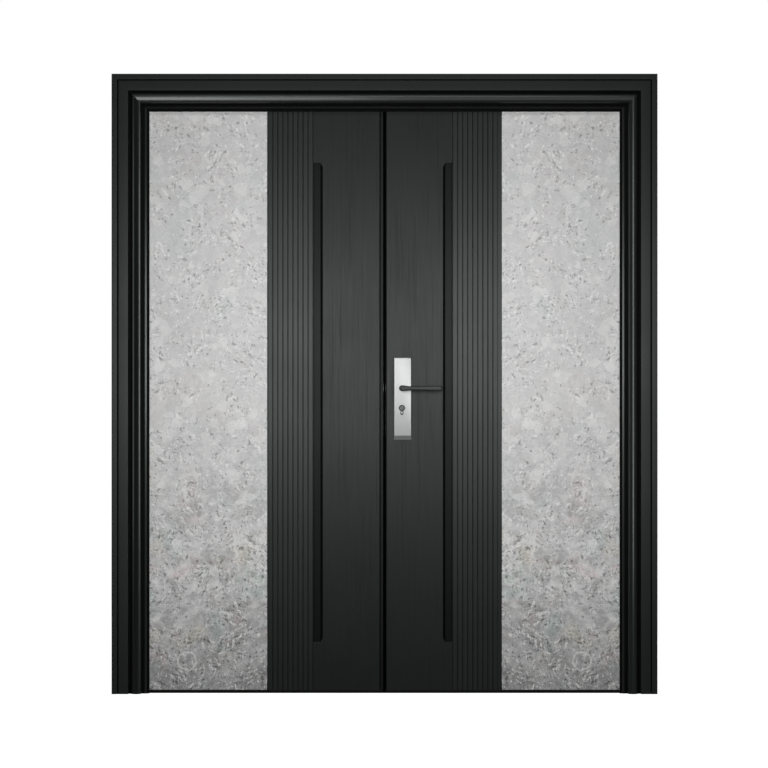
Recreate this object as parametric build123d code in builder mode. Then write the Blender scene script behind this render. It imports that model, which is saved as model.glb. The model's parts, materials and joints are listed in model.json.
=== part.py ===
"""Double security door: moulded steel frame, two clad leaves and a lever lock.

Millimetres. +Z is up and +X runs to the right as seen from outside, which is the -Y side.
The origin is the middle of the threshold's underside, half way through the closed leaves.
"""

import os

from build123d import *

# Frame, seen from outside
FRAME_WIDTH = 1878
FRAME_HEIGHT = 2134
FRAME_SHEET = 2
CASING_SHEET = 1.5

# Steps of the frame's section, each a width across the face, from the outer edge inwards
LIP_WIDTH = 19
LIP_GROOVE_WIDTH = 4
CASING_FLAT_WIDTH = 34
SHADOW_GAP = 9
BEAD_WIDTH = 35
RECESS_WIDTH = 11
NOSE_WIDTH = 8
GASKET_LIP = 8

# Depths of the frame's section
CASING_DEPTH = 25
LIP_STAND = 2
LIP_GROOVE_DEPTH = 5
WALL_FLANGE = 36
CASING_FLANGE = 16
BEAD_HEIGHT = 14
BEAD_FOOT = 9
NOSE_HEIGHT = 5
RECESS_FLOOR_TO_STOP = 6
REBATE_INSET = 104
BACK_FLANGE = 28
BACK_RETURN = 10
STOP_GAP = 6
GASKET_CLEARANCE = 0.5
GASKET_ROUND = 2
GASKET_HOLD = 12

# Leaves
LEAF_THICKNESS = 70
LEAF_GAP = 6
THRESHOLD_THICKNESS = 2.5
THRESHOLD_INSET = 2
FLOOR_CLEARANCE = 5.5
CLADDING = 12
RIM = 3
MEETING_GAP = 5
MEETING_BEVEL = 3
MEETING_LIP = 8
MEETING_LIP_STEP = 8
MEETING_GROOVE = 3.5
SEAL_DEPTH = 14
SEAL_INSET = 3
SEAL_CLEARANCE = 0.7

# Panels on the leaves, from the meeting edge outwards
FLAT_WIDTH = 196.5
PULL_WIDTH = 33
FLUTE_COUNT = 9
FLUTE_PITCH = 17.4
FLUTE_HEIGHT = 5
FLUTE_VALLEY = 2
STRIP_MARGIN = 0.4
PANEL_JOINT = 1.5
PANEL_EDGE = 1
MEETING_ROUND = 4

# Pull recess
PULL_BOTTOM = 176
PULL_TOP = 1830
PULL_FLOOR_DEPTH = 16
PULL_SLOT_DEPTH = 29
PULL_SLOT_WIDTH = 8
PULL_UNDERCUT = 6
PULL_SHEET = 1.5
PULL_EDGE_STEP = 5
PULL_CORNER_ACROSS = 8
PULL_CORNER_UP = 14

# Hinges
HINGE_FOOT = 250
HINGE_HEAD = 352
HINGE_SETBACK = 10
HINGE_HALF = 65
KNUCKLE_RADIUS = 8
KNUCKLE_GAP = 0.25
KNUCKLE_CAP = 6
PIN_RADIUS = 5
PIN_CLEARANCE = 0.05
PIN_END_GAP = 2
PLATE_WIDTH = 36
PLATE_THICKNESS = 3

# Wall fixings through the jambs
ANCHOR_RADIUS = 6
ANCHORS_FROM_FOOT = (130, 620)
ANCHORS_FROM_HEAD = (734, 184)

# Lock on the right leaf
LOCK_X = 60
LEVER_HEIGHT = 1052
LOCK_CENTRES = 68
LOCK_PLATE_SHIFT = 2.5
LOCK_PLATE_DROP = 35.5
LOCK_PLATE_WIDTH = 62
LOCK_PLATE_HEIGHT = 285
LOCK_PLATE_SIDE = 4
LOCK_PLATE_BEVEL = 5
LOCK_PLATE_SLOPE = 2.6
LOCK_PLATE_TOP_SLOPE = 3
LOCK_PLATE_FOOT_SLOPE = 15
CYLINDER_RADIUS = 8.5
CYLINDER_TAIL = 10
CYLINDER_HEIGHT = 33
CYLINDER_PROUD = 1.5
CYLINDER_CLEARANCE = 0.2
KEYWAY_WIDTH = 2
KEYWAY_HEIGHT = 9
KEYWAY_DEPTH = 6
EDGE_PLATE_LENGTH = 260
EDGE_PLATE_WIDTH = 24
EDGE_PLATE_THICKNESS = 3
LATCH_LENGTH = 26
LATCH_WIDTH = 14
BOLT_RADIUS = 7
BOLT_OFFSETS = (-98, -72, -46)
LATCH_OFFSET = 36
BOLT_CLEARANCE = 0.3
BOLT_SINK = 0.5
STRIKE_CLEARANCE = 1.5
STRIKE_POCKET = 16

# Levers
LEVER_NECK_RADIUS = 10
LEVER_NECK_CLEARANCE = 0.08
LEVER_STAND = 34
LEVER_THICKNESS = 13
LEVER_HUB_RADIUS = 10
LEVER_LENGTH = 138
LEVER_WAIST_HALF = 6.3
LEVER_HUB_FILLET = 12
LEVER_TIP_HALF = 8.6
LEVER_EDGE_ROUND = 3
LEVER_TIP_ROUND = 4
SPINDLE_SIDE = 8
SPINDLE_BITE = 20
SPINDLE_HOLE_RADIUS = 7

# Places worked out from the sizes above
LEAF_FRONT = LEAF_THICKNESS / 2
CORE_FACE = LEAF_FRONT - CLADDING
STOP_BACK = -LEAF_FRONT - STOP_GAP
RECESS_FLOOR = STOP_BACK - RECESS_FLOOR_TO_STOP
NOSE_FRONT = RECESS_FLOOR - NOSE_HEIGHT
WALL_PLANE = RECESS_FLOOR
FLANGE_FRONT = WALL_PLANE - FRAME_SHEET
BEAD_START = FLANGE_FRONT - BEAD_FOOT
CASING_FLAT_FRONT = WALL_PLANE - CASING_DEPTH + LIP_STAND
LIP_FRONT = WALL_PLANE - CASING_DEPTH

FLAT_AT = LIP_WIDTH + LIP_GROOVE_WIDTH
CASING_END = FLAT_AT + CASING_FLAT_WIDTH
BEAD_AT = CASING_END + SHADOW_GAP
RECESS_AT = BEAD_AT + BEAD_WIDTH
NOSE_AT = RECESS_AT + RECESS_WIDTH
NOSE_END = NOSE_AT + NOSE_WIDTH
GASKET_END = NOSE_END + GASKET_LIP

HALF_WIDTH = FRAME_WIDTH / 2
REBATE_X = HALF_WIDTH - REBATE_INSET
LEAF_EDGE = REBATE_X - LEAF_GAP
LEAF_BOTTOM = THRESHOLD_THICKNESS + FLOOR_CLEARANCE
LEAF_TOP = FRAME_HEIGHT - REBATE_INSET - LEAF_GAP
LEAF_HEIGHT = LEAF_TOP - LEAF_BOTTOM
PANEL_BOTTOM = LEAF_BOTTOM + RIM
PANEL_HEIGHT = LEAF_HEIGHT - 2 * RIM
PANEL_MIDDLE = PANEL_BOTTOM + PANEL_HEIGHT / 2

MEETING_BACK = MEETING_GAP / 2
MEETING_FRONT = MEETING_BACK + MEETING_BEVEL
MEETING_MIDDLE = (MEETING_BACK + MEETING_FRONT) / 2
LIP_SPAN = MEETING_LIP + MEETING_GROOVE
FLUTES_WIDTH = FLUTE_COUNT * FLUTE_PITCH
STONE_AT = MEETING_FRONT + LIP_SPAN + FLAT_WIDTH + PULL_WIDTH + FLUTES_WIDTH + STRIP_MARGIN + PANEL_JOINT
STONE_WIDTH = LEAF_EDGE - RIM - STONE_AT
PULL_LENGTH = PULL_TOP - PULL_BOTTOM

HINGE_TOP = FRAME_HEIGHT - HINGE_HEAD
HINGE_HEIGHTS = (HINGE_FOOT, (HINGE_FOOT + HINGE_TOP) / 2, HINGE_TOP)
HINGE_X = REBATE_X - LEAF_GAP / 2
HINGE_Y = LEAF_FRONT + HINGE_SETBACK
PLATE_MIDDLE_Y = LEAF_FRONT - PLATE_WIDTH / 2
ANCHOR_HEIGHTS = ANCHORS_FROM_FOOT + tuple(FRAME_HEIGHT - drop for drop in ANCHORS_FROM_HEAD)

LOCK_PLATE_X = LOCK_X + LOCK_PLATE_SHIFT
LOCK_PLATE_Z = LEVER_HEIGHT - LOCK_PLATE_DROP
LOCK_PLATE_FACE = LEAF_FRONT + LOCK_PLATE_SIDE + LOCK_PLATE_BEVEL
CYLINDER_Z = LEVER_HEIGHT - LOCK_CENTRES
LEVER_BACK = LOCK_PLATE_FACE + LEVER_STAND

LEFT, RIGHT = -1, 1
SIDE_NAMES = {LEFT: "left", RIGHT: "right"}

os.makedirs("parts", exist_ok=True)


def save(piece, name):
    """Label a finished piece and write it as one file."""
    piece.part.label = name
    export_step(piece.part, f"parts/{name}.step")


def jamb_plane(side):
    """Section plane of a jamb: local x runs inwards from the outer edge, local y runs back."""
    if side == LEFT:
        return Plane(origin=(-HALF_WIDTH, 0, 0), x_dir=(1, 0, 0), z_dir=(0, 0, 1))
    return Plane(origin=(HALF_WIDTH, 0, FRAME_HEIGHT), x_dir=(-1, 0, 0), z_dir=(0, 0, -1))


def mitre_plane(side):
    """Plane of the mitred corner on one side, facing up and inwards."""
    return Plane(origin=(side * HALF_WIDTH, 0, FRAME_HEIGHT), z_dir=(-side, 0, 1))


HEAD_PLANE = Plane(origin=(-HALF_WIDTH, 0, FRAME_HEIGHT), x_dir=(0, 0, -1), z_dir=(1, 0, 0))

# Section of the jambs and head: wall flange, bead, recess, stop nose, rebate and back return
with BuildSketch() as jamb_section:
    with BuildLine():
        Polyline(
            (BEAD_AT - WALL_FLANGE, FLANGE_FRONT),
            (BEAD_AT, FLANGE_FRONT),
            (BEAD_AT, BEAD_START),
        )
        ThreePointArc(
            (BEAD_AT, BEAD_START),
            (BEAD_AT + BEAD_WIDTH / 2, BEAD_START - BEAD_HEIGHT),
            (RECESS_AT, BEAD_START),
        )
        Polyline(
            (RECESS_AT, BEAD_START),
            (RECESS_AT, RECESS_FLOOR),
            (NOSE_AT, RECESS_FLOOR),
            (NOSE_AT, NOSE_FRONT),
            (NOSE_END, NOSE_FRONT),
            (NOSE_END, STOP_BACK),
            (REBATE_INSET, STOP_BACK),
            (REBATE_INSET, LEAF_FRONT),
            (REBATE_INSET - BACK_FLANGE, LEAF_FRONT),
            (REBATE_INSET - BACK_FLANGE, LEAF_FRONT - BACK_RETURN),
        )
        offset(amount=FRAME_SHEET, side=Side.RIGHT, kind=Kind.INTERSECTION)
    make_face()

# Section of the casing: wall flange, outer lip, groove, flat and the return onto the jamb
with BuildSketch() as casing_section:
    with BuildLine():
        Polyline(
            (CASING_FLANGE, WALL_PLANE),
            (0, WALL_PLANE),
            (0, LIP_FRONT),
            (LIP_WIDTH, LIP_FRONT),
            (LIP_WIDTH, LIP_FRONT + LIP_GROOVE_DEPTH),
            (FLAT_AT, LIP_FRONT + LIP_GROOVE_DEPTH),
            (FLAT_AT, CASING_FLAT_FRONT),
            (CASING_END, CASING_FLAT_FRONT),
            (CASING_END, FLANGE_FRONT),
        )
        offset(amount=CASING_SHEET, side=Side.RIGHT, kind=Kind.INTERSECTION)
    make_face()

# Section of the gasket: held behind the stop, with a round lip that shows beside the nose
with BuildSketch() as gasket_section:
    with BuildLine():
        Polyline(
            (NOSE_END - GASKET_HOLD, STOP_BACK),
            (NOSE_END, STOP_BACK),
            (NOSE_END, RECESS_FLOOR),
            (GASKET_END, RECESS_FLOOR),
            (GASKET_END, -LEAF_FRONT - GASKET_CLEARANCE),
            (NOSE_END - GASKET_HOLD, -LEAF_FRONT - GASKET_CLEARANCE),
            close=True,
        )
    make_face()
    fillet(gasket_section.vertices().group_by(Axis.X)[-1], GASKET_ROUND)


def head_member(section):
    """Head piece of a section, mitred at both ends."""
    with BuildPart() as member:
        with BuildSketch(HEAD_PLANE):
            add(section.sketch)
        extrude(amount=FRAME_WIDTH)
        split(bisect_by=mitre_plane(LEFT), keep=Keep.TOP)
        split(bisect_by=mitre_plane(RIGHT), keep=Keep.TOP)
    return member


def side_member(section, side):
    """Upright piece of a section, mitred at its top."""
    with BuildPart() as member:
        with BuildSketch(jamb_plane(side)):
            add(section.sketch)
        extrude(amount=FRAME_HEIGHT)
        split(bisect_by=mitre_plane(side), keep=Keep.BOTTOM)
    return member


def jamb(side):
    """Upright of the frame, with windows for the hinge plates and holes for the wall fixings."""
    upright = side_member(jamb_section, side)
    with BuildPart() as piece:
        add(upright.part)
        with BuildSketch(Plane.YZ.offset(side * REBATE_X)):
            with Locations(*[(PLATE_MIDDLE_Y, height) for height in HINGE_HEIGHTS]):
                Rectangle(PLATE_WIDTH, 2 * HINGE_HALF)
        extrude(amount=side * PLATE_THICKNESS, mode=Mode.SUBTRACT)
        with BuildSketch(Plane.YZ.offset(side * REBATE_X)):
            with Locations(*[(0, height) for height in ANCHOR_HEIGHTS]):
                Circle(ANCHOR_RADIUS)
        extrude(amount=side * FRAME_SHEET, mode=Mode.SUBTRACT)
    return piece


def frame_hinges(side):
    """Frame halves of the three hinges: plate, lower knuckle and the pin that stands on it."""
    with BuildPart() as piece:
        for height in HINGE_HEIGHTS:
            low = height - HINGE_HALF
            with BuildSketch(Plane.XY.offset(low)):
                with Locations((side * (REBATE_X + PLATE_THICKNESS / 2), PLATE_MIDDLE_Y)):
                    Rectangle(PLATE_THICKNESS, PLATE_WIDTH)
            extrude(amount=2 * HINGE_HALF)
            with BuildSketch(Plane.XY.offset(low)):
                with Locations((side * (REBATE_X + PLATE_THICKNESS / 2), LEAF_FRONT + HINGE_SETBACK / 2)):
                    Rectangle(PLATE_THICKNESS, HINGE_SETBACK)
                with Locations((side * HINGE_X, HINGE_Y)):
                    Circle(KNUCKLE_RADIUS)
            extrude(amount=HINGE_HALF - KNUCKLE_GAP)
            with BuildSketch(Plane.XY.offset(height - KNUCKLE_GAP)):
                with Locations((side * HINGE_X, HINGE_Y)):
                    Circle(PIN_RADIUS)
            extrude(amount=HINGE_HALF + KNUCKLE_GAP - KNUCKLE_CAP - PIN_END_GAP)
    return piece


def leaf_hinges(side):
    """Leaf halves of the three hinges: plate in the leaf's edge and upper knuckle with a blind bore."""
    plate_x = LEAF_EDGE - PLATE_THICKNESS / 2
    with BuildPart() as piece:
        for height in HINGE_HEIGHTS:
            with BuildSketch(Plane.XY.offset(height - HINGE_HALF)):
                with Locations((side * plate_x, PLATE_MIDDLE_Y)):
                    Rectangle(PLATE_THICKNESS, PLATE_WIDTH)
            extrude(amount=2 * HINGE_HALF)
            with BuildSketch(Plane.XY.offset(height + KNUCKLE_GAP)):
                with Locations((side * plate_x, LEAF_FRONT + HINGE_SETBACK / 2)):
                    Rectangle(PLATE_THICKNESS, HINGE_SETBACK)
                with Locations((side * HINGE_X, HINGE_Y)):
                    Circle(KNUCKLE_RADIUS)
            extrude(amount=HINGE_HALF - KNUCKLE_GAP)
            with BuildSketch(Plane.XY.offset(height + KNUCKLE_GAP)):
                with Locations((side * HINGE_X, HINGE_Y)):
                    Circle(PIN_RADIUS + PIN_CLEARANCE)
            extrude(amount=HINGE_HALF - KNUCKLE_GAP - KNUCKLE_CAP, mode=Mode.SUBTRACT)
    return piece


def face_start(side):
    """Distance of the front flat panel from the middle: the left leaf keeps room for its lip."""
    return MEETING_FRONT + (LIP_SPAN if side == LEFT else 0)


def pull_start(side):
    """Distance of the pull recess from the middle, at the flat panel's edge."""
    return face_start(side) + FLAT_WIDTH


def flute_start(side):
    """Distance of the first front flute from the middle."""
    return pull_start(side) + PULL_WIDTH


def edge_plane(side):
    """Plane on the bevelled meeting edge at the lock's height: local x up, local z out of the leaf."""
    out = (-side * LEAF_THICKNESS, -MEETING_BEVEL, 0)
    return Plane(origin=(side * MEETING_MIDDLE, 0, LOCK_PLATE_Z), x_dir=(0, 0, 1), z_dir=out)


def pull_pocket_line(side):
    """Corners of the pull's pocket in the leaf body, from the flutes to the flat panel."""
    at = pull_start(side)
    floor = -LEAF_FRONT + PULL_FLOOR_DEPTH + PULL_SHEET
    slot = -LEAF_FRONT + PULL_SLOT_DEPTH + PULL_SHEET
    near, far = PULL_SLOT_WIDTH + PULL_SHEET, -PULL_UNDERCUT - PULL_SHEET
    corners = [
        (PULL_WIDTH, -CORE_FACE),
        (PULL_WIDTH, floor),
        (near, floor),
        (near, slot),
        (far, slot),
        (far, -CORE_FACE),
    ]
    return [(side * (at + across), depth) for across, depth in corners]


def leaf_body(side):
    """Steel leaf: filled core with edges, pockets for the panels, the pull, the hinges and the lock."""
    plan = [
        (side * MEETING_FRONT, -LEAF_FRONT),
        (side * LEAF_EDGE, -LEAF_FRONT),
        (side * LEAF_EDGE, LEAF_FRONT),
        (side * MEETING_BACK, LEAF_FRONT),
    ]
    lip_end = MEETING_FRONT + MEETING_LIP if side == LEFT else 0
    back_start = MEETING_BACK + RIM
    panel_end = LEAF_EDGE - RIM
    with BuildPart() as piece:
        with BuildSketch(Plane.XY.offset(LEAF_BOTTOM)):
            with BuildLine():
                Polyline(*plan, close=True)
            make_face()
        extrude(amount=LEAF_HEIGHT)
        with BuildSketch(Plane.XZ.offset(CORE_FACE)):
            with Locations((side * (lip_end + panel_end) / 2, PANEL_MIDDLE)):
                Rectangle(panel_end - lip_end, PANEL_HEIGHT)
        extrude(amount=CLADDING, mode=Mode.SUBTRACT)
        if side == LEFT:
            with BuildSketch(Plane.XZ.offset(LEAF_FRONT - MEETING_LIP_STEP)):
                with Locations((side * lip_end / 2, PANEL_MIDDLE)):
                    Rectangle(lip_end, LEAF_HEIGHT)
            extrude(amount=MEETING_LIP_STEP, mode=Mode.SUBTRACT)
        with BuildSketch(Plane.XZ.offset(-CORE_FACE)):
            with Locations((side * (back_start + panel_end) / 2, PANEL_MIDDLE)):
                Rectangle(panel_end - back_start, PANEL_HEIGHT)
        extrude(amount=-CLADDING, mode=Mode.SUBTRACT)
        with BuildSketch(Plane.XY.offset(PULL_BOTTOM)):
            with BuildLine():
                Polyline(*pull_pocket_line(side), close=True)
            make_face()
        extrude(amount=PULL_LENGTH, mode=Mode.SUBTRACT)
        with BuildSketch(Plane.YZ.offset(side * LEAF_EDGE)):
            with Locations(*[(PLATE_MIDDLE_Y, height) for height in HINGE_HEIGHTS]):
                Rectangle(PLATE_WIDTH, 2 * HINGE_HALF)
        extrude(amount=-side * PLATE_THICKNESS, mode=Mode.SUBTRACT)
        with BuildSketch(edge_plane(side)):
            Rectangle(EDGE_PLATE_LENGTH, EDGE_PLATE_WIDTH)
        extrude(amount=-EDGE_PLATE_THICKNESS, mode=Mode.SUBTRACT)
        if side == LEFT:
            with BuildSketch(edge_plane(side)):
                with Locations((LATCH_OFFSET, 0)):
                    Rectangle(LATCH_LENGTH + 2 * STRIKE_CLEARANCE, LATCH_WIDTH + 2 * STRIKE_CLEARANCE)
                with Locations(*[(along, 0) for along in BOLT_OFFSETS]):
                    Circle(BOLT_RADIUS + STRIKE_CLEARANCE)
            extrude(amount=-STRIKE_POCKET, mode=Mode.SUBTRACT)
        else:
            lock_holes()
    return piece


def lock_holes():
    """Cut the spindle and cylinder holes right through what is being built."""
    with BuildSketch(Plane.XZ, mode=Mode.PRIVATE) as holes:
        with Locations((LOCK_X, LEVER_HEIGHT)):
            Circle(SPINDLE_HOLE_RADIUS)
        add(cylinder_outline(CYLINDER_CLEARANCE))
    extrude(holes.sketch, amount=LEAF_THICKNESS, both=True, mode=Mode.SUBTRACT)


def cylinder_outline(clearance):
    """Profile cylinder's end: a circle with a round-ended tail below it."""
    tail = CYLINDER_TAIL / 2
    low = CYLINDER_RADIUS - CYLINDER_HEIGHT + tail
    with BuildSketch(mode=Mode.PRIVATE) as outline:
        with Locations((LOCK_X, CYLINDER_Z)):
            Circle(CYLINDER_RADIUS + clearance)
        with Locations((LOCK_X, CYLINDER_Z + low / 2)):
            Rectangle(2 * (tail + clearance), -low)
        with Locations((LOCK_X, CYLINDER_Z + low)):
            Circle(tail + clearance)
    return outline.sketch


def stone_panel(side, face):
    """Stone slab beside the hinge edge, on the front (face 1) or the back (face -1)."""
    with BuildPart() as piece:
        with BuildSketch(Plane.XZ.offset(face * CORE_FACE)):
            with Locations((side * (STONE_AT + STONE_WIDTH / 2), PANEL_MIDDLE)):
                Rectangle(STONE_WIDTH, PANEL_HEIGHT)
        extrude(amount=face * CLADDING)
        outer = piece.faces().sort_by(Axis.Y)[0 if face == 1 else -1]
        chamfer(outer.edges(), PANEL_EDGE)
    return piece


def fluted_panel(side, start, face):
    """Upright round ribs, then a plain strip up to the stone."""
    base, valley, crest = (-face * (CORE_FACE + rise) for rise in (0, CLADDING - FLUTE_HEIGHT, CLADDING))
    end = STONE_AT - PANEL_JOINT
    half_valley = FLUTE_VALLEY / 2
    with BuildPart() as piece:
        with BuildSketch(Plane.XY.offset(PANEL_BOTTOM)):
            with BuildLine():
                Polyline(
                    (side * end, valley),
                    (side * end, base),
                    (side * start, base),
                    (side * start, valley),
                    (side * (start + half_valley), valley),
                )
                for rib in range(FLUTE_COUNT):
                    left = start + rib * FLUTE_PITCH + half_valley
                    right = start + (rib + 1) * FLUTE_PITCH - half_valley
                    after = end if rib == FLUTE_COUNT - 1 else right + FLUTE_VALLEY
                    ThreePointArc(
                        (side * left, valley),
                        (side * (left + right) / 2, crest),
                        (side * right, valley),
                    )
                    Line((side * right, valley), (side * after, valley))
            make_face()
        extrude(amount=PANEL_HEIGHT)
    return piece


def front_flat_panel(side):
    """Flat grained panel, notched beside the flutes for the pull, with slanted corners."""
    start, edge, end = face_start(side), pull_start(side), flute_start(side)
    notch = [
        (end, PULL_BOTTOM),
        (edge + PULL_CORNER_ACROSS, PULL_BOTTOM),
        (edge, PULL_BOTTOM + PULL_CORNER_UP),
        (edge, PULL_TOP - PULL_CORNER_UP),
        (edge + PULL_CORNER_ACROSS, PULL_TOP),
        (end, PULL_TOP),
    ]
    with BuildPart() as piece:
        with BuildSketch(Plane.XZ.offset(CORE_FACE)):
            with Locations((side * (start + end) / 2, PANEL_MIDDLE)):
                Rectangle(end - start, PANEL_HEIGHT)
            with BuildLine():
                Polyline(*[(side * across, up) for across, up in notch], close=True)
            make_face(mode=Mode.SUBTRACT)
        extrude(amount=CLADDING)
        front = piece.faces().sort_by(Axis.Y)[0]
        fillet(front.edges().filter_by_position(Axis.X, *sorted((side * edge, side * end))), PANEL_EDGE)
        front = piece.faces().sort_by(Axis.Y)[0]
        meeting = front.edges().filter_by(Axis.Z).sort_by(Axis.X)[-1 if side == LEFT else 0]
        fillet(meeting, MEETING_ROUND if side == RIGHT else PANEL_EDGE)
        if side == RIGHT:
            lock_holes()
    return piece


def back_flat_panel(side):
    """Flat grained panel of the inner side, from the meeting edge to the flutes."""
    start, end = MEETING_BACK + RIM, flute_start(side)
    with BuildPart() as piece:
        with BuildSketch(Plane.XZ.offset(-CORE_FACE)):
            with Locations((side * (start + end) / 2, PANEL_MIDDLE)):
                Rectangle(end - start, PANEL_HEIGHT)
        extrude(amount=-CLADDING)
        if side == RIGHT:
            lock_holes()
    return piece


def pull_channel(side):
    """Folded lining of the pull: shallow floor beside the flutes, deep grip behind the flat panel."""
    at = pull_start(side)
    wall = PULL_WIDTH - PULL_SHEET
    floor, slot = -LEAF_FRONT + PULL_FLOOR_DEPTH, -LEAF_FRONT + PULL_SLOT_DEPTH
    fold = [
        (wall, -LEAF_FRONT + PULL_EDGE_STEP),
        (wall, floor),
        (PULL_SLOT_WIDTH, floor),
        (PULL_SLOT_WIDTH, slot),
        (-PULL_UNDERCUT, slot),
        (-PULL_UNDERCUT, -CORE_FACE),
    ]
    outwards = Side.RIGHT if side == RIGHT else Side.LEFT
    with BuildPart() as piece:
        with BuildSketch(Plane.XY.offset(PULL_BOTTOM)):
            with BuildLine():
                Polyline(*[(side * (at + across), depth) for across, depth in fold])
                offset(amount=PULL_SHEET, side=outwards, kind=Kind.INTERSECTION)
            make_face()
        extrude(amount=PULL_LENGTH)
    return piece


def lock_plate(face):
    """Lock plate with sloped edges, the longest at its foot, on the front (face 1) or the back (face -1)."""
    with BuildPart() as piece:
        with BuildSketch(Plane.XZ.offset(face * LEAF_FRONT)):
            with Locations((LOCK_PLATE_X, LOCK_PLATE_Z)):
                Rectangle(LOCK_PLATE_WIDTH, LOCK_PLATE_HEIGHT)
        extrude(amount=face * LOCK_PLATE_SIDE)
        with BuildSketch(Plane.XZ.offset(face * (LEAF_FRONT + LOCK_PLATE_SIDE))):
            with Locations((LOCK_PLATE_X, LOCK_PLATE_Z)):
                Rectangle(LOCK_PLATE_WIDTH, LOCK_PLATE_HEIGHT)
        raised = (LOCK_PLATE_FOOT_SLOPE - LOCK_PLATE_TOP_SLOPE) / 2
        with BuildSketch(Plane.XZ.offset(face * LOCK_PLATE_FACE)):
            with Locations((LOCK_PLATE_X, LOCK_PLATE_Z + raised)):
                Rectangle(
                    LOCK_PLATE_WIDTH - 2 * LOCK_PLATE_SLOPE,
                    LOCK_PLATE_HEIGHT - LOCK_PLATE_TOP_SLOPE - LOCK_PLATE_FOOT_SLOPE,
                )
        loft()
        with BuildSketch(Plane.XZ.offset(face * LEAF_FRONT)):
            with Locations((LOCK_X, LEVER_HEIGHT)):
                Circle(LEVER_NECK_RADIUS + LEVER_NECK_CLEARANCE)
            add(cylinder_outline(CYLINDER_CLEARANCE))
        extrude(amount=face * (LOCK_PLATE_SIDE + LOCK_PLATE_BEVEL), mode=Mode.SUBTRACT)
    return piece


# Frame
for side in (LEFT, RIGHT):
    save(jamb(side), f"{SIDE_NAMES[side]}_jamb")
    save(side_member(casing_section, side), f"{SIDE_NAMES[side]}_casing")
    save(side_member(gasket_section, side), f"{SIDE_NAMES[side]}_stop_gasket")
    save(frame_hinges(side), f"{SIDE_NAMES[side]}_frame_hinges")
save(head_member(jamb_section), "head_jamb")
save(head_member(casing_section), "head_casing")
save(head_member(gasket_section), "head_stop_gasket")

with BuildPart() as threshold:
    with BuildSketch():
        Rectangle(2 * REBATE_X, LEAF_THICKNESS - 2 * THRESHOLD_INSET)
    extrude(amount=THRESHOLD_THICKNESS)
save(threshold, "threshold")

# Leaves
for side in (LEFT, RIGHT):
    save(leaf_body(side), f"{SIDE_NAMES[side]}_leaf_body")
    save(leaf_hinges(side), f"{SIDE_NAMES[side]}_leaf_hinges")
    save(pull_channel(side), f"{SIDE_NAMES[side]}_pull_channel")
    save(front_flat_panel(side), f"{SIDE_NAMES[side]}_flat_panel")
    save(fluted_panel(side, flute_start(side), 1), f"{SIDE_NAMES[side]}_fluted_panel")
    save(stone_panel(side, 1), f"{SIDE_NAMES[side]}_stone_panel")
    save(back_flat_panel(side), f"{SIDE_NAMES[side]}_inner_flat_panel")
    save(fluted_panel(side, flute_start(side), -1), f"{SIDE_NAMES[side]}_inner_fluted_panel")
    save(stone_panel(side, -1), f"{SIDE_NAMES[side]}_inner_stone_panel")

# Rubber seal on the left leaf's meeting edge, near the inner face
seal_back = LEAF_FRONT - SEAL_INSET
seal_front = seal_back - SEAL_DEPTH
seal_tip = MEETING_BACK - SEAL_CLEARANCE
bevel_rate = MEETING_BEVEL / LEAF_THICKNESS
with BuildPart() as meeting_seal:
    with BuildSketch(Plane.XY.offset(LEAF_BOTTOM)):
        with BuildLine():
            Polyline(
                (-MEETING_BACK - bevel_rate * (LEAF_FRONT - seal_front), seal_front),
                (seal_tip, seal_front),
                (seal_tip, seal_back),
                (-MEETING_BACK - bevel_rate * (LEAF_FRONT - seal_back), seal_back),
                close=True,
            )
        make_face()
    extrude(amount=LEAF_HEIGHT)
    fillet(meeting_seal.edges().filter_by(Axis.Z).group_by(Axis.X)[-1], GASKET_ROUND)
save(meeting_seal, "left_meeting_seal")

# Strike plate on the left leaf's meeting edge
with BuildPart() as strike_plate:
    with BuildSketch(edge_plane(LEFT)):
        Rectangle(EDGE_PLATE_LENGTH, EDGE_PLATE_WIDTH)
        with Locations((LATCH_OFFSET, 0)):
            Rectangle(
                LATCH_LENGTH + 2 * STRIKE_CLEARANCE,
                LATCH_WIDTH + 2 * STRIKE_CLEARANCE,
                mode=Mode.SUBTRACT,
            )
        with Locations(*[(along, 0) for along in BOLT_OFFSETS]):
            Circle(BOLT_RADIUS + STRIKE_CLEARANCE, mode=Mode.SUBTRACT)
    extrude(amount=-EDGE_PLATE_THICKNESS)
save(strike_plate, "left_strike_plate")

# Edge plate of the lock on the right leaf, and the drawn-back bolts that show in it
with BuildPart() as lock_edge_plate:
    with BuildSketch(edge_plane(RIGHT)):
        Rectangle(EDGE_PLATE_LENGTH, EDGE_PLATE_WIDTH)
        with Locations((LATCH_OFFSET, 0)):
            Rectangle(
                LATCH_LENGTH + 2 * BOLT_CLEARANCE, LATCH_WIDTH + 2 * BOLT_CLEARANCE, mode=Mode.SUBTRACT
            )
        with Locations(*[(along, 0) for along in BOLT_OFFSETS]):
            Circle(BOLT_RADIUS + BOLT_CLEARANCE, mode=Mode.SUBTRACT)
    extrude(amount=-EDGE_PLATE_THICKNESS)
save(lock_edge_plate, "lock_edge_plate")

with BuildPart() as lock_bolts:
    with BuildSketch(edge_plane(RIGHT).offset(-EDGE_PLATE_THICKNESS)):
        with Locations((LATCH_OFFSET, 0)):
            Rectangle(LATCH_LENGTH, LATCH_WIDTH)
        with Locations(*[(along, 0) for along in BOLT_OFFSETS]):
            Circle(BOLT_RADIUS)
    extrude(amount=EDGE_PLATE_THICKNESS - BOLT_SINK)
save(lock_bolts, "lock_bolts")

save(lock_plate(1), "outside_lock_plate")
save(lock_plate(-1), "inside_lock_plate")

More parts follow.
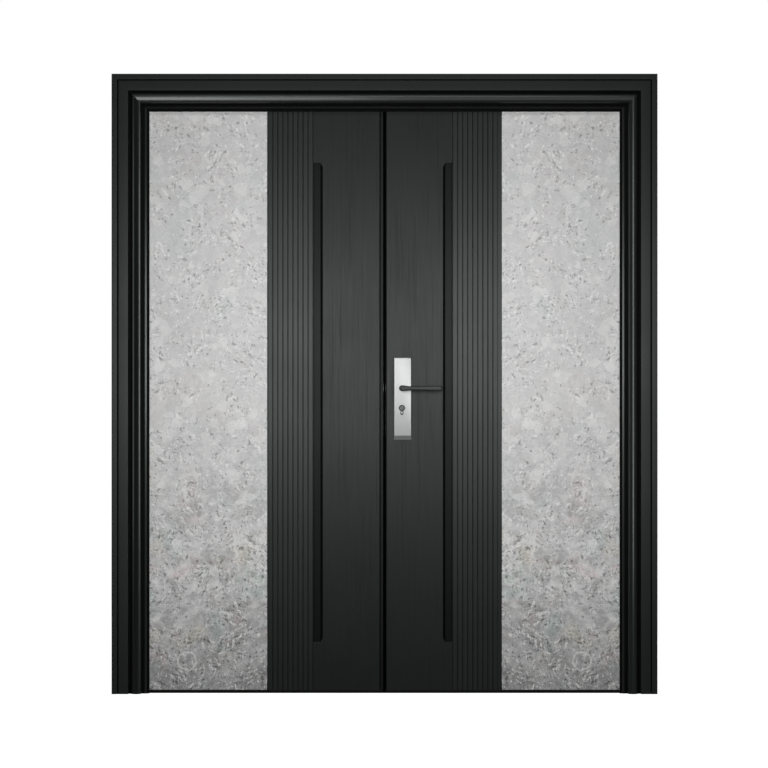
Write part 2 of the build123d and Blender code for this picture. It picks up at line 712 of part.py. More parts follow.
# Profile cylinder right through the leaf, with a keyway at each end
with BuildPart() as lock_cylinder:
    with BuildSketch(Plane.XZ):
        add(cylinder_outline(0))
    extrude(amount=LOCK_PLATE_FACE + CYLINDER_PROUD, both=True)
    for face in (1, -1):
        with BuildSketch(Plane.XZ.offset(face * (LOCK_PLATE_FACE + CYLINDER_PROUD))):
            with Locations((LOCK_X, CYLINDER_Z)):
                Rectangle(KEYWAY_WIDTH, KEYWAY_HEIGHT)
        extrude(amount=-face * KEYWAY_DEPTH, mode=Mode.SUBTRACT)
save(lock_cylinder, "lock_cylinder")

# Levers: a round neck in the lock plate and an arm that widens away from the meeting edge
arm = [
    (LOCK_X, LEVER_HEIGHT - LEVER_WAIST_HALF),
    (LOCK_X + LEVER_LENGTH, LEVER_HEIGHT - LEVER_TIP_HALF),
    (LOCK_X + LEVER_LENGTH, LEVER_HEIGHT + LEVER_TIP_HALF),
    (LOCK_X, LEVER_HEIGHT + LEVER_WAIST_HALF),
]
with BuildPart() as outside_lever:
    with BuildSketch(Plane.XZ.offset(LEVER_BACK)) as outline:
        with BuildLine():
            Polyline(*arm, close=True)
        make_face()
        with Locations((LOCK_X, LEVER_HEIGHT)):
            Circle(LEVER_HUB_RADIUS)
        tip_corners = outline.vertices().group_by(Axis.X)[-1]
        fillet(outline.vertices() - tip_corners, LEVER_HUB_FILLET)
        fillet(outline.vertices().group_by(Axis.X)[-1], LEVER_TIP_ROUND)
    extrude(amount=LEVER_THICKNESS)
    fillet(outside_lever.faces().sort_by(Axis.Y)[0].edges(), LEVER_EDGE_ROUND)
    with BuildSketch(Plane.XZ.offset(LEAF_FRONT)):
        with Locations((LOCK_X, LEVER_HEIGHT)):
            Circle(LEVER_NECK_RADIUS)
    extrude(amount=LEVER_BACK - LEAF_FRONT)
    with BuildSketch(Plane.XZ.offset(LEAF_FRONT)):
        with Locations((LOCK_X, LEVER_HEIGHT)):
            Rectangle(SPINDLE_SIDE, SPINDLE_SIDE)
    extrude(amount=SPINDLE_BITE, mode=Mode.SUBTRACT)
save(outside_lever, "outside_lever")

with BuildPart() as inside_lever:
    mirror(outside_lever.part, about=Plane.XZ)
save(inside_lever, "inside_lever")

with BuildPart() as spindle:
    with BuildSketch(Plane.XZ):
        with Locations((LOCK_X, LEVER_HEIGHT)):
            Rectangle(SPINDLE_SIDE, SPINDLE_SIDE)
    extrude(amount=LEAF_FRONT + SPINDLE_BITE, both=True)
save(spindle, "spindle")
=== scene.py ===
"""Double security door: finishes, small hardware, soft edges, light and camera over the CAD frame.

Metres. +Z is up, +X runs to the right as seen from outside, and the outside is the -Y side.
"""

import sys

import json
import logging
from abc import ABC, abstractmethod
from dataclasses import dataclass, field
from enum import Enum
from math import radians

import bmesh
import bpy
import numpy as np
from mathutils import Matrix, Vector


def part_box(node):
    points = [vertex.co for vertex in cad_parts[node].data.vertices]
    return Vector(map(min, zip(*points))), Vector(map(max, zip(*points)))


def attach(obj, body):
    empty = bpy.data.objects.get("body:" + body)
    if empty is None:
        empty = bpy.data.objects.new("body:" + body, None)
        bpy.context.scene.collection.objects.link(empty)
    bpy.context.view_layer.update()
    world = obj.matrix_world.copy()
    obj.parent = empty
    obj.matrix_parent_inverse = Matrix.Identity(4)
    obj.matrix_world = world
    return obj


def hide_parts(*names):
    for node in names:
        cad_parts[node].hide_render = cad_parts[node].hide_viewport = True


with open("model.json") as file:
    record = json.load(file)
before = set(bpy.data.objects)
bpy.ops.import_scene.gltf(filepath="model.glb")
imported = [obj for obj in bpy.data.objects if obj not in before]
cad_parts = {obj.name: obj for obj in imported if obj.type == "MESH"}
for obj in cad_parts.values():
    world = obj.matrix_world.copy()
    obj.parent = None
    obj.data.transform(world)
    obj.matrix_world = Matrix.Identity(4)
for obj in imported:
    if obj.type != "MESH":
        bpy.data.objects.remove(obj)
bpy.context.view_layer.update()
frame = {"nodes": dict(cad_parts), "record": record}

LOG = logging.getLogger("double_security_door")
Socket = bpy.types.NodeSocket
Materials = dict[str, bpy.types.Material]
Pair = tuple[float, float]
Triple = tuple[float, float, float]
Color = Triple

MM = 0.001
X_AXIS: Triple = (1, 0, 0)
Y_AXIS: Triple = (0, 1, 0)
Z_AXIS: Triple = (0, 0, 1)
# The leaves' faces lie this far to each side of Y = 0.
LEAF_FACE = 35 * MM
# The leaves' meeting edges lean by 3 mm over a leaf's thickness of 70 mm.
MEETING_BEVEL = 3 / 70
# Variant of the frame's paint for its beads and noses.
BEAD = "frame_paint_bead"


class Way(Enum):
    """One of two opposite ways along an axis, with its sign."""

    def node(self, part: str) -> str:
        """Name of the node or body that lies this way."""
        return f"{self.name.lower()}_{part}"


class Side(Way):
    """The two leaves and jambs, with the sign of their X."""

    LEFT = -1
    RIGHT = 1


class Face(Way):
    """The two faces of a leaf, with the sign of their Y."""

    OUTSIDE = -1
    INSIDE = 1

    def depths(self, node: str) -> Pair:
        """Y of a node's seat on the leaf and of its front."""
        low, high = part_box(node)
        return (low.y, high.y) if self is Face.INSIDE else (high.y, low.y)


class Slot(str, Enum):
    """Material slots of the record."""

    FRAME_PAINT = "frame_paint"
    LEAF_STEEL = "leaf_steel"
    GRAINED_PANEL = "grained_panel"
    FLUTED_METAL = "fluted_metal"
    PULL_METAL = "pull_metal"
    GREY_STONE = "grey_stone"
    BLACK_RUBBER = "black_rubber"
    LOCK_STEEL = "lock_steel"
    HINGE_STEEL = "hinge_steel"
    BLACK_METAL = "black_metal"


def joint_at(name: str) -> Triple:
    """Place of one of the record's joints."""
    joints = frame["record"]["behaviour"]["joints"]
    return tuple(next(joint["pos_m"] for joint in joints if joint["name"] == name))


# Shapes


def along(axis: Triple, sign: float) -> Triple:
    """An axis, or its opposite for a negative sign."""
    return tuple(np.sign(sign) * np.array(axis))


def unit(vectors: np.ndarray) -> np.ndarray:
    """Vectors of length one in the same directions."""
    return vectors / np.linalg.norm(vectors, axis=-1, keepdims=True)


def rounded(corners: np.ndarray, radius: np.ndarray | float, closed: bool, steps: int = 6) -> np.ndarray:
    """Round the corners of a path.

    Each corner P turns into the quadratic curve (1-s)^2 A + 2s(1-s) P + s^2 B, whose ends A and B lie
    on the two edges at the distance where an arc of the given radius would touch them.

    Args:
        corners: The path's corners, (n, 2).
        radius: One radius, or one for each rounded corner.
        closed: Whether the last corner joins the first; an open path keeps its two ends.
        steps: Points on each rounded corner.

    Returns:
        The points of the rounded path.
    """
    ring = np.asarray(corners, dtype=float)
    before, at, after = np.roll(ring, 1, axis=0), ring, np.roll(ring, -1, axis=0)
    if not closed:
        before, at, after = before[1:-1], at[1:-1], after[1:-1]
    to_before, to_after = unit(before - at), unit(after - at)
    cosine = np.sum(to_before * to_after, axis=1)
    reach = (radius * np.sqrt((1 + cosine) / (1 - cosine)))[:, None]
    first, last = (at + reach * to_before)[:, None], (at + reach * to_after)[:, None]
    s = np.linspace(0, 1, steps)[None, :, None]
    curve = (1 - s) ** 2 * first + 2 * s * (1 - s) * at[:, None] + s**2 * last
    points = curve.reshape(-1, 2)
    return points if closed else np.vstack([ring[:1], points, ring[-1:]])


def turns(corners: np.ndarray) -> np.ndarray:
    """Sign of the turn at each inner corner of an open path: positive to the left."""
    edges = np.diff(np.asarray(corners, dtype=float), axis=0)
    return np.sign(edges[:-1, 0] * edges[1:, 1] - edges[:-1, 1] * edges[1:, 0])


def sheet(path: np.ndarray, thickness: float) -> np.ndarray:
    """Outline of a folded sheet.

    The path forms the seen side. Each point moved along the mean of its two edge normals, by the
    thickness over the cosine of half the turn, forms the hidden side, which runs backwards.

    Args:
        path: Points of the seen side, (n, 2), with the sheet on their left.
        thickness: Thickness of the sheet.

    Returns:
        The closed outline, (2n, 2).
    """
    edges = np.diff(path, axis=0)
    normals = unit(np.stack([-edges[:, 1], edges[:, 0]], axis=-1))
    before, after = np.vstack([normals[:1], normals]), np.vstack([normals, normals[-1:]])
    shift = (before + after) / (1 + np.sum(before * after, axis=1, keepdims=True))
    return np.vstack([path, (path + thickness * shift)[::-1]])


def rounded_box(half_width: float, half_height: float, radius: float) -> np.ndarray:
    """Rectangle about the origin with round corners."""
    w, h = half_width, half_height
    return rounded(np.array([(-w, -h), (w, -h), (w, h), (-w, h)]), radius, closed=True)


def circle(radius: float, points: int = 40) -> np.ndarray:
    """Circle about the origin as evenly spaced points."""
    angle = np.linspace(0, 2 * np.pi, points, endpoint=False)
    return radius * np.stack([np.cos(angle), np.sin(angle)], axis=-1)


@dataclass(frozen=True)
class Place:
    """A right-handed local frame: two axes in a surface and one out of it."""

    origin: Triple
    across: Triple
    up: Triple

    def rings(self, outlines: list[np.ndarray], heights: list[float]) -> np.ndarray:
        """Carry outlines to their heights above the surface.

        A point (a, b) of an outline at height h goes to origin + a across + b up + h out, where out
        is the cross product of across and up.

        Args:
            outlines: Equally long closed outlines, each (n, 2).
            heights: Height of each outline over the surface.

        Returns:
            The rings, (outlines, n, 3).
        """
        flat, rise = np.stack(outlines), np.asarray(heights)[:, None, None]
        across, up = np.array(self.across), np.array(self.up)
        out = np.cross(across, up)
        return np.array(self.origin) + flat[..., :1] * across + flat[..., 1:] * up + rise * out


def shell_faces(stations: int, around: int, first: int) -> list[list[int]]:
    """Faces of a closed skin over rings.

    Args:
        stations: Number of rings.
        around: Points on each ring.
        first: Index of the first ring's first point.

    Returns:
        Four-sided faces between neighbouring rings and one face over each end ring.
    """
    index = first + np.arange(stations * around).reshape(stations, around)
    beside = np.roll(index, -1, axis=1)
    quads = np.stack([index[:-1], beside[:-1], beside[1:], index[1:]], axis=-1).reshape(-1, 4)
    return [*quads.tolist(), index[0, ::-1].tolist(), index[-1].tolist()]


@dataclass
class Piece:
    """One visual piece: closed skins over rings, riding on a body in place of some CAD nodes."""

    name: str
    body: str
    slot: Slot
    replaces: tuple[str, ...] = ()
    crease: float = 38.0
    variant: str = ""
    shells: list[np.ndarray] = field(default_factory=list)

    def add(self, *rings: np.ndarray) -> "Piece":
        """Add closed skins to the piece."""
        self.shells.extend(rings)
        return self

    def build(self, finishes: Materials) -> bpy.types.Object:
        """Make the object, smooth it, dress it, hang it on its body and hide the CAD nodes it replaces.

        Args:
            finishes: Material of each slot and variant.

        Returns:
            The new object.
        """
        counts = [rings.shape[0] * rings.shape[1] for rings in self.shells]
        firsts = np.concatenate([[0], np.cumsum(counts)[:-1]]).astype(int)
        points = np.concatenate([rings.reshape(-1, 3) for rings in self.shells])
        faces: list[list[int]] = []
        for rings, first in zip(self.shells, firsts):
            faces += shell_faces(rings.shape[0], rings.shape[1], int(first))
        mesh = bpy.data.meshes.new(self.name)
        mesh.from_pydata(points.tolist(), [], faces)
        turn_outwards(mesh)
        mesh.polygons.foreach_set("use_smooth", np.ones(len(mesh.polygons), dtype=bool))
        mesh.set_sharp_from_angle(angle=radians(self.crease))
        mesh.materials.append(finishes[self.variant or self.slot.value])
        piece = bpy.data.objects.new(self.name, mesh)
        bpy.context.scene.collection.objects.link(piece)
        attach(piece, self.body)
        if self.replaces:
            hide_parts(*self.replaces)
        LOG.info("%s: %d faces on %s", self.name, len(mesh.polygons), self.body)
        return piece


def turn_outwards(mesh: bpy.types.Mesh) -> None:
    """Turn every face of closed skins outwards.

    Args:
        mesh: The mesh to turn.
    """
    work = bmesh.new()
    work.from_mesh(mesh)
    bmesh.ops.recalc_face_normals(work, faces=work.faces)
    work.to_mesh(mesh)
    work.free()


# Finishes


class Graph:
    """Node tree of a material or world, with short calls for the nodes that are used often."""

    def __init__(self, owner: bpy.types.Material | bpy.types.World) -> None:
        """Start with an empty tree.

        Args:
            owner: The material or world that owns the tree.
        """
        owner.use_nodes = True
        self.tree = owner.node_tree
        self.tree.nodes.clear()

    def feed(self, target: Socket, value: object) -> None:
        """Link a socket to an input, or set the input to a constant; a colour gets its alpha here.

        Args:
            target: The input.
            value: An output to link, or a constant.
        """
        if isinstance(value, bpy.types.NodeSocket):
            self.tree.links.new(value, target)
        else:
            target.default_value = (*value, 1.0) if target.type == "RGBA" else value

    def node(self, kind: str, *values: object, **settings: object) -> bpy.types.Node:
        """Add a node, set its own properties and feed its inputs in their order.

        Args:
            kind: The node's type.
            *values: Sockets or constants for its first inputs.
            **settings: Its own properties.

        Returns:
            The new node.
        """
        node = self.tree.nodes.new(kind)
        for name, setting in settings.items():
            setattr(node, name, setting)
        for target, value in zip(node.inputs, values):
            self.feed(target, value)
        return node

    def out(self, kind: str, *values: object, **settings: object) -> Socket:
        """First output of a new node."""
        return self.node(kind, *values, **settings).outputs[0]

    def math(self, operation: str, *values: object) -> Socket:
        """One Math node."""
        return self.out("ShaderNodeMath", *values, operation=operation)

    def times(self, a: object, b: object) -> Socket:
        """Product of two values."""
        return self.math("MULTIPLY", a, b)

    def less(self, a: object, b: object) -> Socket:
        """Difference of two values."""
        return self.math("SUBTRACT", a, b)

    def line(self, value: object, slope: object, start: object) -> Socket:
        """A value times a slope, plus a start."""
        return self.math("MULTIPLY_ADD", value, slope, start)


class Surface(Graph):
    """Graph of one material with a Principled shader and patterns in Object coordinates."""

    def __init__(self, name: str) -> None:
        """Start the material with its shader.

        Args:
            name: The material's name.
        """
        self.material = bpy.data.materials.new(name)
        super().__init__(self.material)
        self.shader = self.node("ShaderNodeBsdfPrincipled")
        self.node("ShaderNodeOutputMaterial", self.shader.outputs["BSDF"])
        self.coords = self.node("ShaderNodeTexCoord").outputs["Object"]

    def set(self, name: str, value: object) -> None:
        """Feed one input of the Principled shader."""
        self.feed(self.shader.inputs[name], value)

    def texture(self, kind: str, at: Socket | None, **inputs: float) -> bpy.types.Node:
        """A texture at some coordinates, or else at the object's own.

        Args:
            kind: The node's type.
            at: Coordinates, or None for the object's own.
            **inputs: Constants by the names of their inputs.

        Returns:
            The new node.
        """
        node = self.node(kind, at or self.coords)
        for name, value in inputs.items():
            node.inputs[name].default_value = value
        return node

    def noise(
        self, scale: float, detail: float = 2.0, rough: float = 0.5, at: Socket | None = None
    ) -> Socket:
        """Noise between 0 and 1 with its middle at a half."""
        node = self.texture("ShaderNodeTexNoise", at, Scale=scale, Detail=detail, Roughness=rough)
        return node.outputs[0]

    def cells(self, scale: float, at: Socket) -> Socket:
        """A number of its own for each cell round a scatter of points."""
        points = self.texture("ShaderNodeTexVoronoi", at, Scale=scale)
        return self.out("ShaderNodeSeparateColor", points.outputs["Color"])

    def stretch(self, scale: Triple) -> Socket:
        """Object coordinates, scaled.

        Args:
            scale: Factors along X, Y and Z.

        Returns:
            The scaled coordinates.
        """
        node = self.node("ShaderNodeMapping", self.coords)
        node.inputs["Scale"].default_value = scale
        return node.outputs["Vector"]

    def moved(self, at: Socket, by: Triple) -> Socket:
        """Coordinates moved by a constant."""
        return self.out("ShaderNodeVectorMath", at, by, operation="ADD")

    def warped(self, at: Socket, scale: float, reach: float, detail: float = 2.0) -> Socket:
        """Coordinates pushed about by noise, so that straight edges turn ragged."""
        push = self.texture("ShaderNodeTexNoise", at, Scale=scale, Detail=detail).outputs[1]
        return self.out("ShaderNodeVectorMath", push, (reach, reach, reach), at, operation="MULTIPLY_ADD")

    def band(self, value: Socket, low: float, high: float, to: Pair = (0.0, 1.0)) -> Socket:
        """Smooth step of a value from low to high."""
        return self.out("ShaderNodeMapRange", value, low, high, *to, interpolation_type="SMOOTHSTEP")

    def sway(self, noise: Socket, middle: float, reach: float, spread: float = 0.2) -> Socket:
        """Values within a reach of a middle, for a noise that keeps within a spread of a half."""
        return self.band(noise, 0.5 - spread, 0.5 + spread, (middle - reach, middle + reach))

    def blend(self, share: object, a: object, b: object, way: str = "MIX") -> Socket:
        """Mix two colours, which are the seventh and eighth inputs of a Mix node.

        Args:
            share: Share of the second colour.
            a: The first colour.
            b: The second colour.
            way: The node's way of mixing.

        Returns:
            The mixed colour.
        """
        node = self.node("ShaderNodeMix", share, data_type="RGBA", blend_type=way)
        for target, value in zip(node.inputs[6:8], (a, b)):
            self.feed(target, value)
        return node.outputs[2]

    def shade(self, color: object, factor: Socket) -> Socket:
        """A colour multiplied by a number."""
        return self.blend(1.0, color, factor, "MULTIPLY")

    def bump(self, height: Socket, depth: float, under: Socket | None = None) -> Socket:
        """Normal of a height field whose full range is the given depth.

        Args:
            height: The height field.
            depth: Depth of its full range in metres.
            under: Normal of a coarser relief below it.

        Returns:
            The normal.
        """
        node = self.node("ShaderNodeBump")
        inputs = {"Strength": 1.0, "Distance": depth, "Height": height}
        if under is not None:
            inputs["Normal"] = under
        for name, value in inputs.items():
            self.feed(node.inputs[name], value)
        return node.outputs["Normal"]


@dataclass(frozen=True)
class Finish(ABC):
    """A finish that makes one material."""

    name: str
    color: Color
    roughness: float

    @abstractmethod
    def dress(self, graph: Surface) -> None:
        """Wire the finish into a material's graph."""

    def build(self) -> bpy.types.Material:
        """Make the material.

        Returns:
            The material.
        """
        graph = Surface(self.name)
        self.dress(graph)
        return graph.material


@dataclass(frozen=True)
class Coat(Finish):
    """Satin powder coat: faint clouding, a fine pebbled skin and, where asked, an upright grain."""

    specular: float = 0.3
    tint: Color = (0.93, 1.0, 0.975)
    clouding: float = 0.06
    uneven: float = 0.025
    pebble: float = 0.00003
    grain: float = 0.0
    grain_depth: float = 0.0012
    fine_grain: Triple = (420.0, 420.0, 7.0)
    long_grain: Triple = (170.0, 170.0, 1.6)

    def dress(self, graph: Surface) -> None:
        """Wire clouding, grain and the pebbled skin; the grain breaks up colour, roughness and surface.

        Args:
            graph: The material's graph.
        """
        tone = graph.sway(graph.noise(5.0, 3.0), 1.0, self.clouding)
        normal = graph.bump(graph.noise(900.0, 1.0), self.pebble)
        roughness = graph.sway(graph.noise(3.0, 4.0, 0.6), self.roughness, self.uneven)
        if self.grain:
            fine = graph.noise(1.0, 3.0, 0.6, graph.stretch(self.fine_grain))
            long = graph.noise(1.0, 2.0, 0.5, graph.stretch(self.long_grain))
            lines = graph.band(long, 0.58, 0.7)
            ripple = graph.sway(fine, 1.0, self.grain)
            streaks = graph.times(ripple, graph.line(lines, -self.grain, 1.0))
            tone = graph.times(tone, streaks)
            roughness = graph.times(roughness, graph.line(streaks, -0.3, 1.3))
            normal = graph.bump(graph.line(lines, -1.5, fine), self.grain_depth * self.grain, normal)
        graph.set("Base Color", graph.shade(self.color, tone))
        graph.set("Roughness", roughness)
        graph.set("Specular IOR Level", self.specular)
        graph.set("Specular Tint", self.tint)
        graph.set("Normal", normal)


@dataclass(frozen=True)
class Stone(Finish):
    """Honed grey stone, book-matched on the two leaves: patches, chips, pale pebbles, lines and tints.

    It is calm above the height given as such and gets coarser from there down to its foot.
    """

    pink: Color = (0.69, 0.56, 0.57)
    sand: Color = (0.67, 0.62, 0.51)
    moss: Color = (0.51, 0.60, 0.57)
    dark: Color = (0.09, 0.09, 0.088)
    pale: Color = (0.88, 0.88, 0.87)
    pebble: Color = (0.73, 0.73, 0.725)
    calm: float = 1.15
    ring_at: Pair = (0.682, 0.111)
    ring_radius: float = 0.031
    patch_at: Pair = (0.615, 1.09)
    specular: float = 0.25
    relief: float = 0.0006

    def mirrored(self, graph: Surface) -> tuple[Socket, Socket, Socket]:
        """Coordinates with the distance from the door's middle in place of X.

        Args:
            graph: The material's graph.

        Returns:
            The coordinates, that distance and the height.
        """
        x, y, up = graph.node("ShaderNodeSeparateXYZ", graph.coords).outputs
        across = graph.math("ABSOLUTE", x)
        return graph.out("ShaderNodeCombineXYZ", across, y, up), across, up

    def distance(self, graph: Surface, across: Socket, up: Socket, spot: Pair) -> Socket:
        """Distance from one spot on the slab's face."""
        x, z = graph.less(across, spot[0]), graph.less(up, spot[1])
        return graph.math("SQRT", graph.math("ADD", graph.times(x, x), graph.times(z, z)))

    def patches(self, graph: Surface, at: Socket, scale: float, depth: float) -> Socket:
        """Angular patches, each with a tone of its own, as a signed change of tone."""
        return graph.line(graph.cells(scale, at), 2 * depth, -depth)

    def chips(self, graph: Surface, at: Socket, scale: float, step: Triple) -> Socket:
        """Chips with a painted highlight on one side and painted shade on the other, which lean one way or
        the other by patches.

        Args:
            graph: The material's graph.
            at: Coordinates of the chips.
            scale: Scale of the noise whose slope they are.
            step: The step along which the slope is taken; the other lean has its X reversed.

        Returns:
            The slope of the noise along the step.
        """
        here = graph.noise(scale, 3.0, 0.6, at)
        slopes = []
        for by in (step, (-step[0], 0.0, step[2])):
            there = graph.noise(scale, 3.0, 0.6, graph.moved(at, by))
            slopes.append(graph.less(here, there))
        lean = graph.band(graph.noise(scale / 4, 1.0, 0.5, at), 0.46, 0.54)
        return graph.line(lean, graph.less(*slopes), slopes[1])

    def curls(self, graph: Surface, at: Socket, scale: float, width: float) -> Socket:
        """Thin winding lines where a noise crosses its middle."""
        cross = graph.math("ABSOLUTE", graph.less(graph.noise(scale, 2.0, 0.5, at), 0.5))
        return graph.less(1.0, graph.band(cross, 0.0, width))

    def tones(self, graph: Surface, at: Socket, ragged: Socket, strength: Socket) -> Socket:
        """Tone of the ground: broad clouds, angular patches of two sizes and a fine grit.

        Args:
            graph: The material's graph.
            at: Book-matched coordinates.
            ragged: The same with ragged edges.
            strength: Strength of the patches at each height.

        Returns:
            A factor about one.
        """
        layers = [
            self.patches(graph, ragged, 15.0, 0.026),
            self.patches(graph, ragged, 46.0, 0.036),
            graph.sway(graph.noise(34.0, 4.0, 0.6, at), 0.0, 0.05),
            graph.sway(graph.noise(2.6, 3.0, 0.5, at), 0.0, 0.035),
            graph.sway(graph.noise(330.0, 2.0, 0.6, at), 0.0, 0.03, spread=0.25),
        ]
        change = layers[0]
        for layer in layers[1:]:
            change = graph.math("ADD", change, layer)
        return graph.math("MAXIMUM", graph.line(change, strength, 1.0), 0.3)

    def painted_falloff(self, graph: Surface, up: Socket) -> Socket:
        """Painted shade of the lamps' fall-off: a factor that darkens the stone towards its foot and, a
        little, above its middle.
        """
        low = graph.band(up, 0.0, 0.5, (0.66, 1.09))
        return graph.times(low, graph.band(up, 0.5, 0.75, (1.0, 0.917)))

    def tinted(self, graph: Surface, color: Socket, tone: Socket, at: Socket, foot: Socket) -> Socket:
        """Pink, sand and moss blots, stronger towards the foot, over the ground colour.

        Args:
            graph: The material's graph.
            color: The ground colour.
            tone: Tone of the ground.
            at: Coordinates of the blots.
            foot: One at the foot, falling to zero.

        Returns:
            The tinted colour.
        """
        share = graph.line(foot, 0.5, 0.14)
        for scale, tint, away in ((8.0, self.pink, 0.0), (5.2, self.sand, 3.1), (6.6, self.moss, 7.7)):
            blots = graph.noise(scale, 5.0, 0.6, graph.moved(at, (away, 0.0, away)))
            mask = graph.times(graph.band(blots, 0.54, 0.66), share)
            color = graph.blend(mask, color, graph.shade(tint, tone))
        return color

    def pebbles(self, graph: Surface, at: Socket, ragged: Socket, near: Socket) -> Socket:
        """Smooth pale pebbles: some of the ragged cells, and one large patch about its spot.

        Args:
            graph: The material's graph.
            at: Book-matched coordinates.
            ragged: The same with ragged edges.
            near: Distance from the patch's spot.

        Returns:
            One on the pebbles, zero beside them.
        """
        some = graph.band(graph.cells(31.0, ragged), 0.89, 0.9)
        uneven = graph.line(graph.noise(24.0, 4.0, 0.6, at), 0.09, near)
        return graph.math("MAXIMUM", some, graph.band(uneven, 0.068, 0.078, (1.0, 0.0)))

    def ring(self, graph: Surface, at: Socket, across: Socket, up: Socket) -> Socket:
        """A pale, uneven ring near the foot.

        Args:
            graph: The material's graph.
            at: Book-matched coordinates.
            across: Distance from the door's middle.
            up: Height.

        Returns:
            One on the ring, zero beside it.
        """
        away = graph.less(self.distance(graph, across, up, self.ring_at), self.ring_radius)
        uneven = graph.line(graph.noise(34.0, 3.0, 0.6, at), 0.022, -0.011)
        rim = graph.math("ABSOLUTE", graph.math("ADD", away, uneven))
        return graph.less(1.0, graph.band(rim, 0.001, 0.0042))

    def dress(self, graph: Surface) -> None:
        """Wire ground, pebbles, chips, lines and relief; most of them grow stronger towards the foot.

        Args:
            graph: The material's graph.
        """
        at, across, up = self.mirrored(graph)
        bent = graph.warped(at, 26.0, 0.028)
        ragged = graph.warped(bent, 110.0, 0.006, 3.0)
        foot = graph.band(up, 0.0, self.calm, (1.0, 0.0))
        tone = self.tones(graph, at, ragged, graph.line(foot, 3.2, 1.0))
        # Painted shade: the ground's tone is darkened towards the foot by height.
        shaded = graph.times(tone, self.painted_falloff(graph, up))
        color = self.tinted(graph, graph.shade(self.color, shaded), shaded, ragged, foot)
        smooth = self.pebbles(graph, at, ragged, self.distance(graph, across, up, self.patch_at))
        color = graph.blend(graph.times(smooth, 0.7), color, graph.shade(self.pebble, shaded))
        cluster = graph.band(graph.noise(17.0, 3.0, 0.6, at), 0.34, 0.6, (0.5, 1.0))
        bold = graph.times(cluster, graph.line(foot, 0.22, 0.9))
        bold = graph.times(bold, graph.line(smooth, -0.75, 1.0))
        wide = graph.times(self.chips(graph, bent, 46.0, (0.0042, 0.0, -0.0038)), bold)
        fine = graph.times(self.chips(graph, ragged, 105.0, (-0.002, 0.0, -0.0023)), bold)
        marks = []
        # The stone's pits and flecks: the chips' pale sides are painted highlight and their dark sides
        # painted shade.
        for slope, start, end, share in ((wide, 0.07, 0.098, 1.5), (fine, 0.06, 0.09, 0.5)):
            marks.append((graph.band(graph.times(slope, -1.0), start, end), 0.5 * share, self.pale))
            marks.append((graph.band(slope, start, end), 0.33 * share, self.dark))
        lines = self.curls(graph, ragged, 13.0, 0.012)
        seams = self.curls(graph, graph.moved(ragged, (5.0, 0.0, 2.0)), 21.0, 0.012)
        shells = self.curls(graph, graph.moved(bent, (2.0, 0.0, 7.0)), 30.0, 0.03)
        patchy = graph.band(graph.noise(9.0, 3.0, 0.6, graph.moved(at, (1.0, 0.0, 4.0))), 0.46, 0.58)
        marks += [
            (graph.times(lines, cluster), 0.22, self.pale),
            (graph.times(seams, cluster), 0.2, self.dark),
            (self.ring(graph, at, across, up), 0.5, self.pale),
            (graph.times(shells, patchy), 0.26, self.pale),
        ]
        strength = graph.line(foot, 0.45, 1.0)
        for mask, share, tint in marks:
            color = graph.blend(graph.times(mask, graph.times(strength, share)), color, tint)
        graph.set("Base Color", color)
        graph.set("Roughness", self.roughness)
        graph.set("Specular IOR Level", self.specular)
        graph.set("Normal", graph.bump(graph.math("ADD", wide, tone), self.relief))


@dataclass(frozen=True)
class Steel(Finish):
    """Satin steel with a fine brushed grain along one axis."""

    metallic: float = 1.0
    brush: Triple = (60.0, 60.0, 2400.0)
    depth: float = 0.000004
    streaks: float = 0.06
    uneven: float = 0.012

    def dress(self, graph: Surface) -> None:
        """Wire the metal, its brushed grain and a little clouding.

        Args:
            graph: The material's graph.
        """
        lines = graph.noise(1.0, 2.0, 0.6, graph.stretch(self.brush))
        graph.set("Base Color", graph.shade(self.color, graph.sway(lines, 1.0, self.streaks, spread=0.25)))
        graph.set("Metallic", self.metallic)
        graph.set("Roughness", graph.sway(graph.noise(30.0, 3.0), self.roughness, self.uneven))
        graph.set("Normal", graph.bump(lines, self.depth))


@dataclass(frozen=True)
class Rubber(Finish):
    """Matt black rubber with a dusty, uneven skin."""

    specular: float = 0.05
    dust: float = 0.15
    depth: float = 0.00004

    def dress(self, graph: Surface) -> None:
        """Wire the uneven skin.

        Args:
            graph: The material's graph.
        """
        skin = graph.noise(700.0, 3.0, 0.6)
        graph.set("Base Color", graph.shade(self.color, graph.sway(skin, 1.0, self.dust)))
        graph.set("Roughness", self.roughness)
        graph.set("Specular IOR Level", self.specular)
        graph.set("Normal", graph.bump(skin, self.depth))


def make_finishes() -> Materials:
    """Make the material of every slot, and the glossier variant of the frame's paint on its beads.

    Returns:
        Material by the name of its slot or variant.
    """
    dark, pull = (0.0082, 0.0093, 0.0089), (0.004, 0.0042, 0.0041)
    finishes: tuple[Finish, ...] = (
        Coat(Slot.FRAME_PAINT.value, dark, 0.5, specular=0.36),
        Coat(BEAD, dark, 0.3, specular=0.5, pebble=0.00001),
        Coat(Slot.LEAF_STEEL.value, (0.006, 0.006, 0.0064), 0.5, specular=0.2),
        Coat(Slot.GRAINED_PANEL.value, dark, 0.46, specular=0.34, grain=0.2),
        Coat(Slot.FLUTED_METAL.value, dark, 0.44, specular=0.44, grain=0.07),
        Coat(Slot.PULL_METAL.value, pull, 0.44, specular=0.16, grain=0.04),
        Stone(Slot.GREY_STONE.value, (0.63, 0.63, 0.63), 0.6),
        Rubber(Slot.BLACK_RUBBER.value, (0.003, 0.003, 0.003), 0.7),
        Steel(Slot.LOCK_STEEL.value, (0.275, 0.279, 0.277), 0.315, metallic=0.5),
        Steel(Slot.HINGE_STEEL.value, (0.42, 0.42, 0.43), 0.36),
        Coat(Slot.BLACK_METAL.value, (0.018, 0.018, 0.0182), 0.5, specular=0.42),
    )
    return {finish.name: finish.build() for finish in finishes}


# Sub-assemblies


